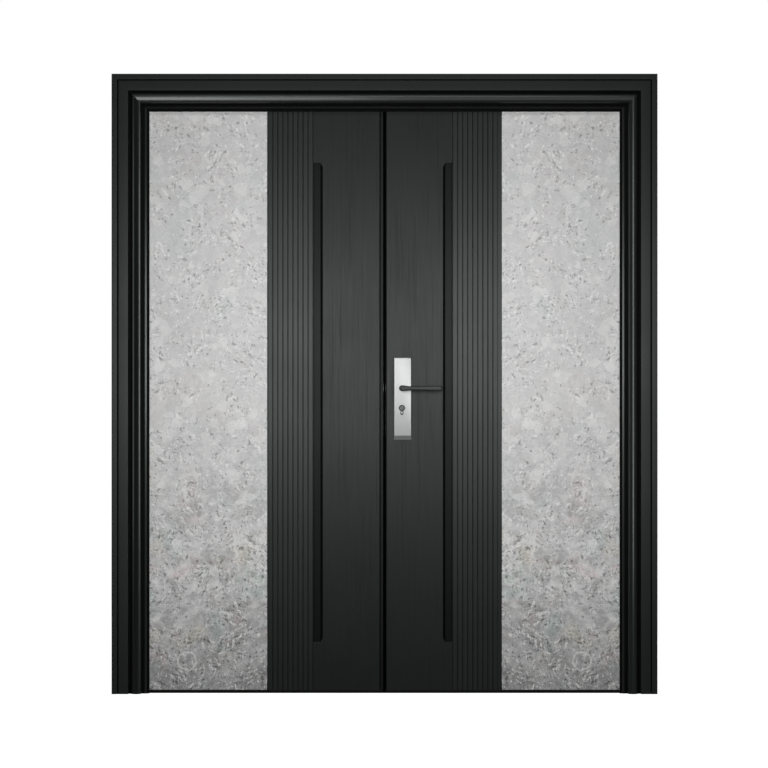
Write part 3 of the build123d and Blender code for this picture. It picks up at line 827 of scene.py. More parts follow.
@dataclass
class FrameMoulding:
    """Casings, jambs and head with rolled edges, their gaskets and black strips in the hollows, which are
    painted shade.
    """

    width: float = 1878 * MM
    height: float = 2134 * MM
    sheet: float = 2.0 * MM
    skin: float = 1.2 * MM
    casing_sheet: float = 1.5 * MM
    casing_flange: float = 16 * MM
    lip: float = 19 * MM
    groove: float = 4 * MM
    flat: float = 34 * MM
    gap: float = 9 * MM
    bead: float = 35 * MM
    recess: float = 11 * MM
    nose: float = 8 * MM
    gasket: float = 8 * MM
    wall: float = -47 * MM
    lip_front: float = -72 * MM
    flat_front: float = -70 * MM
    groove_depth: float = 5 * MM
    jamb_flange: float = 36 * MM
    bead_foot: float = 9 * MM
    bead_height: float = 14 * MM
    nose_front: float = -52 * MM
    stop_back: float = -41 * MM
    rebate: float = 104 * MM
    back_flange: float = 28 * MM
    back_return: float = 10 * MM
    gasket_hold: float = 12 * MM
    gasket_gap: float = 0.5 * MM
    fold: float = 0.6 * MM
    cap_proud: float = 0.15 * MM
    cap_sheet: float = 0.5 * MM
    cap_foot: float = 3 * MM
    cap_share: float = 0.94
    strip_gap: float = 0.2 * MM
    strip_sunk: float = 0.1 * MM

    def __post_init__(self) -> None:
        """Work out the places of the section's steps, from the outer edge inwards."""
        self.flat_at = self.lip + self.groove
        self.casing_end = self.flat_at + self.flat
        self.bead_at = self.casing_end + self.gap
        self.recess_at = self.bead_at + self.bead
        self.nose_at = self.recess_at + self.recess
        self.nose_end = self.nose_at + self.nose
        self.groove_floor = self.lip_front + self.groove_depth
        self.flange = self.wall - self.sheet
        self.bead_start = self.flange - self.bead_foot

    def bent(self, corners: list[Pair], thickness: float) -> np.ndarray:
        """Open path with folded corners: a fold round the sheet's inner side is wider by its thickness.

        Args:
            corners: The path's corners.
            thickness: The sheet's thickness.

        Returns:
            Points of the folded path.
        """
        path = np.array(corners)
        radius = np.where(turns(path) > 0, self.fold + thickness, self.fold)
        return rounded(path, radius, closed=False)

    def casing_section(self) -> np.ndarray:
        """Section of the casing: wall flange, outer lip, groove, flat and the return onto the jamb.

        Returns:
            The closed outline, as distance inwards and depth.
        """
        corners = [
            (self.casing_flange, self.wall),
            (0.0, self.wall),
            (0.0, self.lip_front),
            (self.lip, self.lip_front),
            (self.lip, self.groove_floor),
            (self.flat_at, self.groove_floor),
            (self.flat_at, self.flat_front),
            (self.casing_end, self.flat_front),
            (self.casing_end, self.flange),
        ]
        return sheet(self.bent(corners, self.casing_sheet), self.casing_sheet)

    def bead_arc(self, share: float = 1.0, proud: float = 0.0) -> np.ndarray:
        """Front of the bead, from its outer to its inner foot.

        The bead is the arc through its two feet and its crest: with half width w and height h its
        radius is (w^2 + h^2) / 2h, and it spans the angle asin(w / radius) to each side.

        Args:
            share: Share of the angle that is kept.
            proud: Height over the bead's surface.

        Returns:
            Points of the arc, (33, 2).
        """
        half = self.bead / 2
        radius = (half**2 + self.bead_height**2) / (2 * self.bead_height)
        angle = share * np.arcsin(half / radius) * np.linspace(-1, 1, 33)
        middle = np.array([self.bead_at + half, self.bead_start - self.bead_height + radius])
        return middle + (radius + proud) * np.stack([np.sin(angle), -np.cos(angle)], axis=-1)

    def jamb_section(self) -> np.ndarray:
        """Section of a jamb: wall flange, bead, recess, stop nose, rebate and back return.

        Returns:
            The closed outline, as distance inwards and depth.
        """
        outer = [
            (self.bead_at - self.jamb_flange, self.flange),
            (self.bead_at, self.flange),
            (self.bead_at, self.bead_start),
        ]
        inner = [
            (self.recess_at, self.bead_start),
            (self.recess_at, self.wall),
            (self.nose_at, self.wall),
            (self.nose_at, self.nose_front),
            (self.nose_end, self.nose_front),
            (self.nose_end, self.stop_back),
            (self.rebate, self.stop_back),
            (self.rebate, LEAF_FACE),
            (self.rebate - self.back_flange, LEAF_FACE),
            (self.rebate - self.back_flange, LEAF_FACE - self.back_return),
        ]
        parts = [self.bent(outer, self.skin)[:-1], self.bead_arc(), self.bent(inner, self.skin)[1:]]
        return sheet(np.vstack(parts), self.skin)

    def gasket_section(self) -> np.ndarray:
        """Section of the gasket: held behind the stop, with a round lip beside the nose.

        Returns:
            The closed outline, as distance inwards and depth.
        """
        near, held = -LEAF_FACE - self.gasket_gap, self.nose_end - self.gasket_hold
        corners = [
            (held, self.stop_back),
            (self.nose_end, self.stop_back),
            (self.nose_end, self.wall),
            (self.nose_end + self.gasket, self.wall),
            (self.nose_end + self.gasket, near),
            (held, near),
        ]
        radius = np.array([0.3, 0.3, 1.5, 3.0, 3.0, 0.3]) * MM
        return rounded(np.array(corners), radius, closed=True)

    def strip_section(self, start: float, end: float, floor: float, depth: float) -> np.ndarray:
        """Section of a black rubber strip, put as painted shade on the floor of a hollow.

        Args:
            start: The hollow's outer side.
            end: The hollow's inner side.
            floor: Depth of the hollow's floor.
            depth: The strip's height.

        Returns:
            The closed outline, as distance inwards and depth.
        """
        first, last = start + self.strip_gap, end - self.strip_gap
        low, crest = floor + self.strip_sunk, floor - depth
        corners = np.array([(first, low), (first, crest), (last, crest), (last, low)])
        return rounded(corners, np.array([0.2, 0.8, 0.8, 0.2]) * MM, closed=True)

    def upright(self, section: np.ndarray, side: Side) -> np.ndarray:
        """A section carried up one side to the mitre, which drops as far as the point lies inwards.

        Args:
            section: A closed outline.
            side: The side to carry it up.

        Returns:
            Rings at the foot and in the mitre.
        """
        inwards, depth = section.T
        x = side.value * (self.width / 2 - inwards)
        foot = np.stack([x, depth, np.zeros_like(x)], axis=-1)
        return np.stack([foot, np.stack([x, depth, self.height - inwards], axis=-1)])

    def head(self, section: np.ndarray) -> np.ndarray:
        """A section carried along the head from mitre to mitre.

        Args:
            section: A closed outline.

        Returns:
            Rings in the two mitres.
        """
        inwards, depth = section.T
        x, z = self.width / 2 - inwards, self.height - inwards
        return np.stack([np.stack([sign * x, depth, z], axis=-1) for sign in (-1, 1)])

    def runs(self, part: str, section: np.ndarray) -> dict[str, np.ndarray]:
        """A section carried up both sides and along the head, under the names of these runs."""
        sides = {side.node(part): self.upright(section, side) for side in Side}
        return sides | {f"head_{part}": self.head(section)}

    def caps(self) -> list[Piece]:
        """Glossy skins over the beads and the stop noses, in a variant of the jambs' paint.

        Returns:
            The pieces, not built yet.
        """
        start, end = self.nose_at - self.cap_proud, self.nose_end + self.cap_proud
        foot, crest = self.nose_front + self.cap_foot, self.nose_front - self.cap_proud
        nose = self.bent([(start, foot), (start, crest), (end, crest), (end, foot)], self.skin)
        bead = self.bead_arc(self.cap_share, self.cap_proud)
        made = []
        for part, path in (("bead_cap", bead), ("nose_cap", nose)):
            for name, rings in self.runs(part, sheet(path, self.cap_sheet)).items():
                made.append(Piece(name, "frame", Slot.FRAME_PAINT, variant=BEAD).add(rings))
        return made

    def strips(self) -> list[Piece]:
        """Black rubber strips as painted shade in the three hollows; the last number is a strip's height
        over its floor.

        Returns:
            The pieces, not built yet.
        """
        made = []
        # Painted shade: dark strips lie where the hollows are only in shadow.
        for name, start, end, floor, depth in (
            ("lip_groove_strip", self.lip, self.flat_at, self.groove_floor, 1.2 * MM),
            ("casing_gap_strip", self.casing_end, self.bead_at, self.flange, 7 * MM),
            ("recess_strip", self.recess_at, self.nose_at, self.wall, 3.5 * MM),
        ):
            runs = self.runs(name, self.strip_section(start, end, floor, depth))
            made.append(Piece(name, "frame", Slot.BLACK_RUBBER).add(*runs.values()))
        return made

    def pieces(self) -> list[Piece]:
        """Every piece of the moulded frame.

        Returns:
            The pieces, not built yet.
        """
        made = []
        for part, section, slot in (
            ("casing", self.casing_section(), Slot.FRAME_PAINT),
            ("jamb", self.jamb_section(), Slot.FRAME_PAINT),
            ("stop_gasket", self.gasket_section(), Slot.BLACK_RUBBER),
        ):
            for node, rings in self.runs(part, section).items():
                made.append(Piece(f"{node}_skin", "frame", slot, (node,)).add(rings))
        return made + self.caps() + self.strips()


def screw_rings(place: Place, radius: float) -> np.ndarray:
    """Countersunk screw head with a six-lobed socket.

    Rings of falling radius rise to a low dome and then drop into the socket, where the radius is
    multiplied by 1 + 0.16 cos(6 angle).

    Args:
        place: Frame with its origin on the surface, in the middle of the screw.
        radius: Radius of the head.

    Returns:
        The rings of the closed skin.
    """
    shares = np.array([1.0, 1.0, 0.93, 0.72, 0.5, 0.45, 0.04])
    heights = np.array([-0.15, 0.02, 0.07, 0.1, 0.105, -0.12, -0.16]) * radius
    lobed = np.array([0, 0, 0, 0, 1, 1, 0])
    angle = np.linspace(0, 2 * np.pi, 48, endpoint=False)
    wave = 1 + 0.16 * lobed[:, None] * np.cos(6 * angle)
    reach = radius * shares[:, None] * wave
    outlines = np.stack([reach * np.cos(angle), reach * np.sin(angle)], axis=-1)
    return place.rings(list(outlines), list(heights))


def button_rings(place: Place, radius: float, height: float) -> np.ndarray:
    """Round cap: radius r cos(t) and height h (0.3 + 0.7 sin(t)) for t from 0 to a right angle.

    Args:
        place: Frame with its origin under the cap's middle.
        radius: Radius r of the cap.
        height: Height h of the cap.

    Returns:
        The rings of the closed skin.
    """
    t = np.linspace(0, np.pi / 2 - 0.03, 7)
    radii = np.concatenate([[radius], radius * np.cos(t)])
    heights = np.concatenate([[-0.05 * height], height * (0.3 + 0.7 * np.sin(t))])
    return place.rings([circle(r, 32) for r in radii], list(heights))


def soft_plate(
    place: Place, half: Pair, depth: float, corner: float = 0.3 * MM, edge: float = 0.3 * MM
) -> np.ndarray:
    """Flat plate with round corners and a rounded upper edge.

    Args:
        place: Frame with its origin in the middle of the plate's underside.
        half: Half width and half height.
        depth: Thickness of the plate.
        corner: Radius of the corners in the plate's plane.
        edge: Radius of the upper edge.

    Returns:
        The rings of the closed skin, from the underside to the face.
    """
    t = np.linspace(0, np.pi / 2, 5)
    insets = np.concatenate([[0.0], edge * (1 - np.cos(t))])
    heights = np.concatenate([[0.0], depth - edge + edge * np.sin(t)])
    outlines = [rounded_box(half[0] - d, half[1] - d, max(corner - d, 0.2 * MM)) for d in insets]
    return place.rings(outlines, list(heights))


@dataclass
class Hinges:
    """Three hinges on one side: plates let into jamb and leaf, rounded knuckles and screws."""

    side: Side
    half_length: float = 65 * MM
    knuckle: float = 8 * MM
    knuckle_gap: float = 0.25 * MM
    dome: float = 3 * MM
    dome_in: float = 4 * MM
    soft: float = 0.5 * MM
    plate_width: float = 36 * MM
    plate: float = 3 * MM
    proud: float = 0.3 * MM
    corner: float = 0.6 * MM
    edge: float = 0.25 * MM
    setback: float = 10 * MM
    overlap: float = 1 * MM
    leaf_gap: float = 6 * MM
    screw: float = 4.2 * MM
    screw_shift: float = 6 * MM
    screw_shares: tuple[float, ...] = (-0.78, -0.26, 0.26, 0.78)

    def __post_init__(self) -> None:
        """Take the axis and the heights from the frame."""
        self.axis_x, self.axis_y, _ = joint_at(self.side.node("leaf_swing"))
        low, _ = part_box(self.side.node("frame_hinges"))
        _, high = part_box(self.side.node("leaf_hinges"))
        self.heights = np.linspace(low.z + self.half_length, high.z - self.half_length, 3)

    def barrel(self, low: float, high: float, dome_low: bool) -> np.ndarray:
        """Knuckle between two heights, with one domed and one softened end.

        Args:
            low: Height of the lower end.
            high: Height of the upper end.
            dome_low: Whether the lower end is the domed one.

        Returns:
            The rings of the closed skin.
        """
        t = np.linspace(0, np.pi / 2 - 0.05, 6)
        end_r, end_z = self.knuckle - self.dome_in * (1 - np.cos(t)), self.dome * np.sin(t)
        flat_r = np.array([self.knuckle - self.soft, self.knuckle])
        if dome_low:
            radii = np.concatenate([end_r[::-1], flat_r[::-1]])
            heights = np.concatenate([low + self.dome - end_z[::-1], [high - self.soft, high]])
        else:
            radii = np.concatenate([flat_r, end_r])
            heights = np.concatenate([[low, low + self.soft], high - self.dome + end_z])
        place = Place((self.axis_x, self.axis_y, 0.0), X_AXIS, Y_AXIS)
        return place.rings([circle(r) for r in radii], list(heights))

    def half(self, part: str, on_leaf: bool) -> Piece:
        """One half of all three hinges.

        Args:
            part: The node's name without its side.
            on_leaf: Whether the half sits on the leaf.

        Returns:
            The piece.
        """
        way = 1 if on_leaf else -1
        out = way * self.side.value
        node, body = self.side.node(part), self.side.node("leaf") if on_leaf else "frame"
        base_x = self.axis_x - out * (self.leaf_gap / 2 + self.plate)
        middle_y, thick = LEAF_FACE - self.plate_width / 2, self.plate + self.proud
        across = along(Y_AXIS, out)
        piece = Piece(f"{node}_set", body, Slot.HINGE_STEEL, (node,))
        for height in self.heights:
            seat = Place((base_x, middle_y, height), across, Z_AXIS)
            size = (self.plate_width / 2, self.half_length)
            piece.add(soft_plate(seat, size, thick, self.corner, self.edge))
            low, high = sorted(height + way * end for end in (self.knuckle_gap, self.half_length))
            strap = Place((base_x, LEAF_FACE + self.setback / 2, (low + high) / 2), across, Z_AXIS)
            size = (self.setback / 2 + self.overlap, (high - low) / 2)
            piece.add(soft_plate(strap, size, self.plate, edge=self.edge))
            piece.add(self.barrel(low, high, dome_low=not on_leaf))
            for index, share in enumerate(self.screw_shares):
                y = middle_y + self.screw_shift * (-1) ** index
                spot = (base_x + out * thick, y, height + share * self.half_length)
                piece.add(screw_rings(Place(spot, across, Z_AXIS), self.screw))
        return piece

    def pieces(self) -> list[Piece]:
        """Frame half and leaf half."""
        return [self.half("frame_hinges", on_leaf=False), self.half("leaf_hinges", on_leaf=True)]


@dataclass
class WallFixings:
    """Caps over the wall fixings in the jambs' rebates."""

    cap_radius: float = 9.5 * MM
    cap_height: float = 2.2 * MM

    def pieces(self) -> list[Piece]:
        """One piece with the caps of both jambs, placed at the record's bolt patterns.

        Returns:
            The pieces, not built yet.
        """
        piece = Piece("wall_fixing_caps", "frame", Slot.BLACK_METAL)
        for mount in frame["record"]["mounts"]:
            if mount["kind"] != "bolt_pattern":
                continue
            x, y, middle = mount["pos_m"]
            half = mount["dims"]["spacing_y_mm"] * MM / 2
            for z in (middle - half, middle + half):
                place = Place((x, y, z), along(Y_AXIS, -x), Z_AXIS)
                piece.add(button_rings(place, self.cap_radius, self.cap_height))
        return [piece]


@dataclass
class FlutedPanel:
    """Panel of flat-topped upright ribs with round shoulders and narrow valleys."""

    side: Side
    face: Face
    pitch: float = 17.4 * MM
    count: int = 9
    rise: float = 3 * MM
    valley: float = 1.6 * MM
    shoulder: float = 1.6 * MM
    soften: float = 0.4 * MM
    step: float = 0.2 * MM

    def profile(self, width: float) -> tuple[np.ndarray, np.ndarray]:
        """Rise over the valleys across the panel.

        Each rib is flat on top. Past the flat, at a distance d, it falls by r - sqrt(r^2 - d^2) along
        a round shoulder of radius r and then drops to the valley. A moving average weighted by a
        raised cosine takes the sharpness out of the feet.

        Args:
            width: Width of the panel from its first rib.

        Returns:
            Distances across and the rise at each.
        """
        across = np.linspace(0, width, int(width / self.step) + 1)
        from_middle = np.abs(across % self.pitch - self.pitch / 2)
        past = from_middle - (self.pitch - self.valley) / 2 + self.shoulder
        r = self.shoulder
        fall = r - np.sqrt(np.maximum(r**2 - np.clip(past, 0, r) ** 2, 0))
        ribbed = (past < r) & (across < self.count * self.pitch)
        rise = np.where(ribbed, self.rise - fall, 0)
        weights = np.hanning(2 * int(self.soften / self.step) + 3)
        padded = np.pad(rise, len(weights) // 2, mode="edge")
        return across, np.convolve(padded, weights / weights.sum(), mode="valid")

    def pieces(self) -> list[Piece]:
        """The ribbed panel.

        Returns:
            The pieces, not built yet.
        """
        node = self.side.node("fluted_panel" if self.face is Face.OUTSIDE else "inner_fluted_panel")
        low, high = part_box(node)
        base, crest = self.face.depths(node)
        across, rise = self.profile(high.x - low.x)
        inner = min(abs(low.x), abs(high.x))
        x = self.side.value * (inner + np.concatenate([across, across[[-1, 0]]]))
        y = np.concatenate([crest - np.sign(crest) * (self.rise - rise), [base, base]])
        rings = np.stack([np.stack([x, y, np.full_like(x, z)], axis=-1) for z in (low.z, high.z)])
        piece = Piece(f"{node}_ribs", self.side.node("leaf"), Slot.FLUTED_METAL, (node,))
        return [piece.add(rings)]


@dataclass
class PullSlot:
    """Black strip in the deep slot of a pull recess, behind the flat panel's edge: painted shade."""

    side: Side
    channel_sheet: float = 1.5 * MM
    width: float = 14 * MM
    slot_depth: float = 29 * MM
    fill: float = 10 * MM
    side_gap: float = 0.05 * MM
    end_gap: float = 0.5 * MM

    def pieces(self) -> list[Piece]:
        """One strip from the slot's inner wall to its step, as long as the channel.

        Returns:
            The pieces, not built yet.
        """
        low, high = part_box(self.side.node("pull_channel"))
        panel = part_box(self.side.node("flat_panel"))[0].y
        middle = min(abs(low.x), abs(high.x)) + self.channel_sheet + self.width / 2
        spot = (self.side.value * middle, panel + self.slot_depth, (low.z + high.z) / 2)
        size = (self.width / 2 - self.side_gap, (high.z - low.z) / 2 - self.end_gap)
        piece = Piece(self.side.node("pull_slot_strip"), self.side.node("leaf"), Slot.BLACK_RUBBER)
        return [piece.add(soft_plate(Place(spot, X_AXIS, Z_AXIS), size, self.fill))]


@dataclass
class MeetingSeal:
    """Rubber at the left leaf's meeting edge: a groove strip, which is painted shade, and a bulb pressed
    on the right leaf.
    """

    back: float = 2.5 * MM
    press: float = 0.15 * MM
    sunk: float = 0.1 * MM
    draft: float = 1 * MM
    clear: float = 0.4 * MM
    pad: float = 9 * MM
    pad_corner: float = 1 * MM
    groove: float = 3.5 * MM
    groove_fill: float = 3.0 * MM
    side_gap: float = 0.1 * MM
    end_gap: float = 0.2 * MM

    def bulb(self) -> Piece:
        """The seal: a section with a foot on the bevelled edge and a round tip, carried up the leaf.

        A black pad under the leaves closes the gap's lower end, as painted shade.

        Returns:
            The piece.
        """
        low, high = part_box("left_meeting_seal")
        foot = [-self.back - MEETING_BEVEL * (LEAF_FACE - y) - self.sunk for y in (low.y, high.y)]
        tip = self.back + MEETING_BEVEL * (LEAF_FACE - high.y) + self.press
        tips = [(tip, low.y + self.draft), (tip, high.y - self.draft)]
        corners = np.array([(foot[0], low.y), *tips, (foot[1], high.y)])
        section = rounded(corners, np.array([0.3, 3.0, 3.0, 0.3]) * MM, closed=True)
        floor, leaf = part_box("threshold")[1].z + self.clear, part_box("left_leaf_body")[0].z
        rings = [np.column_stack([section, np.full(len(section), z)]) for z in (floor, high.z)]
        under = Place((0, (low.y + high.y) / 2, floor + self.clear), X_AXIS, Y_AXIS)
        size, thick = (self.pad, (high.y - low.y) / 2), leaf - 2 * self.clear - floor
        piece = Piece("left_meeting_bulb", "left_leaf", Slot.BLACK_RUBBER, ("left_meeting_seal",))
        return piece.add(np.stack(rings), soft_plate(under, size, thick, self.pad_corner))

    def strip(self) -> Piece:
        """Black strip in the groove beside the lip, as painted shade.

        Returns:
            The piece.
        """
        low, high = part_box("left_flat_panel")
        spot = (high.x + self.groove / 2, high.y, (low.z + high.z) / 2)
        size = (self.groove / 2 - self.side_gap, (high.z - low.z) / 2 - self.end_gap)
        piece = Piece("left_groove_strip", "left_leaf", Slot.BLACK_RUBBER)
        return piece.add(soft_plate(Place(spot, X_AXIS, Z_AXIS), size, self.groove_fill))

    def pieces(self) -> list[Piece]:
        """Bulb and strip."""
        return [self.bulb(), self.strip()]


@dataclass
class LockPlate:
    """Lock plate with a broad soft slope round it and two fixing screws on the inside."""

    face: Face
    side_height: float = 4 * MM
    slope_height: float = 5 * MM
    slope_side: float = 2.6 * MM
    slope_top: float = 3 * MM
    slope_foot: float = 15 * MM
    corner: float = 1.2 * MM
    screw: float = 3.4 * MM
    screw_inset: float = 26 * MM

    def pieces(self) -> list[Piece]:
        """The plate: rings that shrink and rise from the leaf's face to the plate's flat.

        Returns:
            The pieces, not built yet.
        """
        node = self.face.node("lock_plate")
        low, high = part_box(node)
        seat, front = self.face.depths(node)
        middle_x, across = (low.x + high.x) / 2, along(X_AXIS, -self.face.value)
        half_w, half_h = (high.x - low.x) / 2, (high.z - low.z) / 2
        shares = np.array([0.0, 0.0, 0.02, 0.08, 0.9, 0.96, 1.0, 1.03])
        sloped = np.array([0.0, 0.0, 0.03, 0.1, 0.92, 0.975, 0.995, 1.0])
        sides = np.array([0.0, 0.92, 0.99, 1.0, 1.0, 1.0, 1.0, 1.0])
        heights = self.side_height * sides + self.slope_height * sloped
        narrow, lift = (self.slope_foot + self.slope_top) / 2, (self.slope_foot - self.slope_top) / 2
        outlines = [
            rounded_box(half_w - s * self.slope_side, half_h - s * narrow, self.corner) + (0.0, s * lift)
            for s in shares
        ]
        place = Place((middle_x, seat, (low.z + high.z) / 2), across, Z_AXIS)
        plate = Piece(f"{node}_soft", "right_leaf", Slot.LOCK_STEEL, (node,))
        made = [plate.add(place.rings(outlines, list(heights)))]
        if self.face is Face.INSIDE:
            screws = Piece("inside_plate_screws", "right_leaf", Slot.HINGE_STEEL)
            for z in (low.z + self.screw_inset, high.z - self.screw_inset):
                screws.add(screw_rings(Place((middle_x, front, z), across, Z_AXIS), self.screw))
            made.append(screws)
        return made


@dataclass
class Lever:
    """Lever handle: a round neck and an arm with a rounded section that narrows and widens again."""

    face: Face
    hub: float = 10 * MM
    length: float = 138 * MM
    waist_at: float = 36 * MM
    waist: float = 6.3 * MM
    tip: float = 8.6 * MM
    tip_round: float = 5 * MM
    tip_end: float = 0.02 * MM
    thickness: float = 13 * MM
    square: float = 3.6

    def stations(self) -> np.ndarray:
        """Distances of the arm's rings from the lever's axis, closer together at the two round ends.

        Returns:
            The distances, rising.
        """
        ends = 1 - np.cos(np.linspace(0, np.pi / 2, 9))
        hub = self.hub * (ends[1:] - 1)
        arm = np.linspace(0, self.length - self.tip_round, 40)[1:]
        tip = self.length - self.tip_round * ends[::-1][1:-1]
        return np.concatenate([hub, arm, tip, [self.length - self.tip_end]])

    def half_sizes(self, x: np.ndarray) -> tuple[np.ndarray, np.ndarray]:
        """Half height and half depth of the arm at distances from the lever's axis.

        Behind the axis the hub is round. Then a smooth step 3t^2 - 2t^3 leads down to the waist and
        another up to the tip, where both sizes end in a quarter ellipse.

        Args:
            x: The distances.

        Returns:
            Half height and half depth at each.
        """
        down = np.clip(x / self.waist_at, 0, 1)
        up = np.clip((x - self.waist_at) / (self.length - self.waist_at), 0, 1)
        ease = [3 * t**2 - 2 * t**3 for t in (down, up)]
        half = self.hub + (self.waist - self.hub) * ease[0] + (self.tip - self.waist) * ease[1]
        half = np.where(x < 0, np.sqrt(np.maximum(self.hub**2 - x**2, 0)), half)
        over = np.clip((x - self.length + self.tip_round) / self.tip_round, 0, 1)
        under = np.clip(-x / self.hub, 0, 1)
        tip, ends = (np.sqrt(np.maximum(1 - t**2, 0)) for t in (over, np.maximum(over, under)))
        return half * tip, self.thickness / 2 * ends

    def pieces(self) -> list[Piece]:
        """Arm and neck. The arm's section is the superellipse |a|^n + |b|^n = 1.

        Returns:
            The pieces, not built yet.
        """
        node = self.face.node("lever")
        axis_x, _, axis_z = joint_at("lever_turn")
        foot_y, face_y = self.face.depths(node)
        middle_y = face_y - np.sign(face_y) * self.thickness / 2
        x = self.stations()[:, None]
        half, depth = self.half_sizes(x)
        a, b = circle(1.0).T
        section_y, section_z = (np.sign(v) * np.abs(v) ** (2 / self.square) for v in (a, b))
        across = np.broadcast_to(axis_x + x, (len(x), len(a)))
        arm = np.stack([across, middle_y + depth * section_y, axis_z + half * section_z], axis=-1)
        t = np.linspace(0, 1, 12)
        neck_y = foot_y + (middle_y - foot_y) * t
        flare = self.hub * (0.86 + 0.13 * (1 - np.clip(t / 0.35, 0, 1)) ** 2 + 0.08 * t**3)
        place = Place((axis_x, 0.0, axis_z), X_AXIS, Z_AXIS)
        neck = place.rings([circle(r) for r in flare], list(-neck_y))
        return [Piece(f"{node}_handle", "lever", Slot.BLACK_METAL, (node,), crease=50).add(arm, neck)]


@dataclass
class LockTrim:
    """Collars, plug rings and tail plates on the cylinder, screws in the strike and edge plates."""

    plug: float = 5.4 * MM
    band: float = 0.9 * MM
    proud: float = 0.35 * MM
    collar: float = 10.8 * MM
    collar_band: float = 2.2 * MM
    collar_proud: float = 0.9 * MM
    cylinder_proud: float = 1.5 * MM
    soft: float = 0.2 * MM
    sunk: float = 0.3 * MM
    tail: Pair = (1.3 * MM, 4.2 * MM)
    tail_corner: float = 1.2 * MM
    tail_edge: float = 0.15 * MM
    tail_drop: float = 16.0 * MM
    centres: float = 68 * MM
    edge_x: float = 4.0 * MM
    screw: float = 4.0 * MM
    screw_inset: float = 11 * MM

    def band_rings(self, place: Place, radius: float, band: float, proud: float) -> np.ndarray:
        """A raised flat ring with soft edges, as a closed skin.

        Args:
            place: Frame with its origin in the ring's middle.
            radius: Outer radius.
            band: Width of the ring.
            proud: Height over the surface.

        Returns:
            The rings of the closed skin.
        """
        soft, inner = self.soft, radius - band
        radii = [radius, radius, radius - soft, inner + soft, inner, inner]
        heights = [-self.sunk, proud - soft, proud, proud, proud - soft, -self.sunk]
        return place.rings([circle(r) for r in radii], heights)

    def cylinder_trim(self) -> list[Piece]:
        """Dark collars on the lock plates, steel plug rings and tail plates on the cylinder's ends.

        Returns:
            The pieces, not built yet.
        """
        x, _, lever_z = joint_at("lever_turn")
        z = lever_z - self.centres
        steel = Piece("cylinder_plugs", "right_leaf", Slot.HINGE_STEEL)
        collars = Piece("cylinder_collars", "right_leaf", Slot.BLACK_METAL)
        for y in (corner.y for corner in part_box("lock_cylinder")):
            across = along(X_AXIS, -y)
            end = Place((x, y, z), across, Z_AXIS)
            below = Place((x, y, z - self.tail_drop), across, Z_AXIS)
            foot = Place((x, y - np.sign(y) * self.cylinder_proud, z), across, Z_AXIS)
            steel.add(self.band_rings(end, self.plug, self.band, self.proud))
            steel.add(soft_plate(below, self.tail, self.proud, self.tail_corner, self.tail_edge))
            collars.add(self.band_rings(foot, self.collar, self.collar_band, self.collar_proud))
        return [steel, collars]

    def edge_screws(self, side: Side, node: str) -> Piece:
        """Two screws in a plate on the bevelled meeting edge.

        Args:
            side: The leaf of the plate.
            node: The plate's node.

        Returns:
            The piece.
        """
        low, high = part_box(node)
        out = unit(np.array([-side.value, -MEETING_BEVEL, 0.0]))
        across = tuple(np.cross(Z_AXIS, out))
        piece = Piece(f"{node}_screws", side.node("leaf"), Slot.HINGE_STEEL)
        for z in (low.z + self.screw_inset, high.z - self.screw_inset):
            place = Place((side.value * self.edge_x, 0.0, z), across, Z_AXIS)
            piece.add(screw_rings(place, self.screw))
        return piece

    def pieces(self) -> list[Piece]:
        """Cylinder trim and edge screws.

        Returns:
            The pieces, not built yet.
        """
        return [
            *self.cylinder_trim(),
            self.edge_screws(Side.LEFT, "left_strike_plate"),
            self.edge_screws(Side.RIGHT, "lock_edge_plate"),
        ]


# Studio


@dataclass
class Softbox:
    """Rectangular lamp that the camera does not see."""

    name: str
    at: Triple
    aim: Triple
    size: Pair
    power: float
    only: tuple[str, ...] = ()
    skips: tuple[str, ...] = ()

    def build(self) -> None:
        """Place the lamp, turn it towards its aim and flag it."""
        light = bpy.data.lights.new(self.name, "AREA")
        light.shape = "RECTANGLE"
        light.size, light.size_y = self.size
        light.energy = self.power
        lamp = bpy.data.objects.new(self.name, light)
        lamp.location = self.at
        lamp.rotation_euler = (Vector(self.aim) - Vector(self.at)).to_track_quat("-Z", "Y").to_euler()
        lamp.visible_camera = False
        bpy.context.scene.collection.objects.link(lamp)
        if self.only or self.skips:
            self.flag(lamp)

    def flag(self, lamp: bpy.types.Object) -> None:
        """Keep the lamp's light to some pieces, or off some, as a studio's flags do.

        Args:
            lamp: The lamp's object.
        """
        group = bpy.data.collections.new(f"{self.name}_flag")
        for name in self.only or self.skips:
            group.objects.link(bpy.data.objects[name])
        for entry in group.collection_objects:
            entry.light_linking.link_state = "INCLUDE" if self.only else "EXCLUDE"
        lamp.light_linking.receiver_collection = group


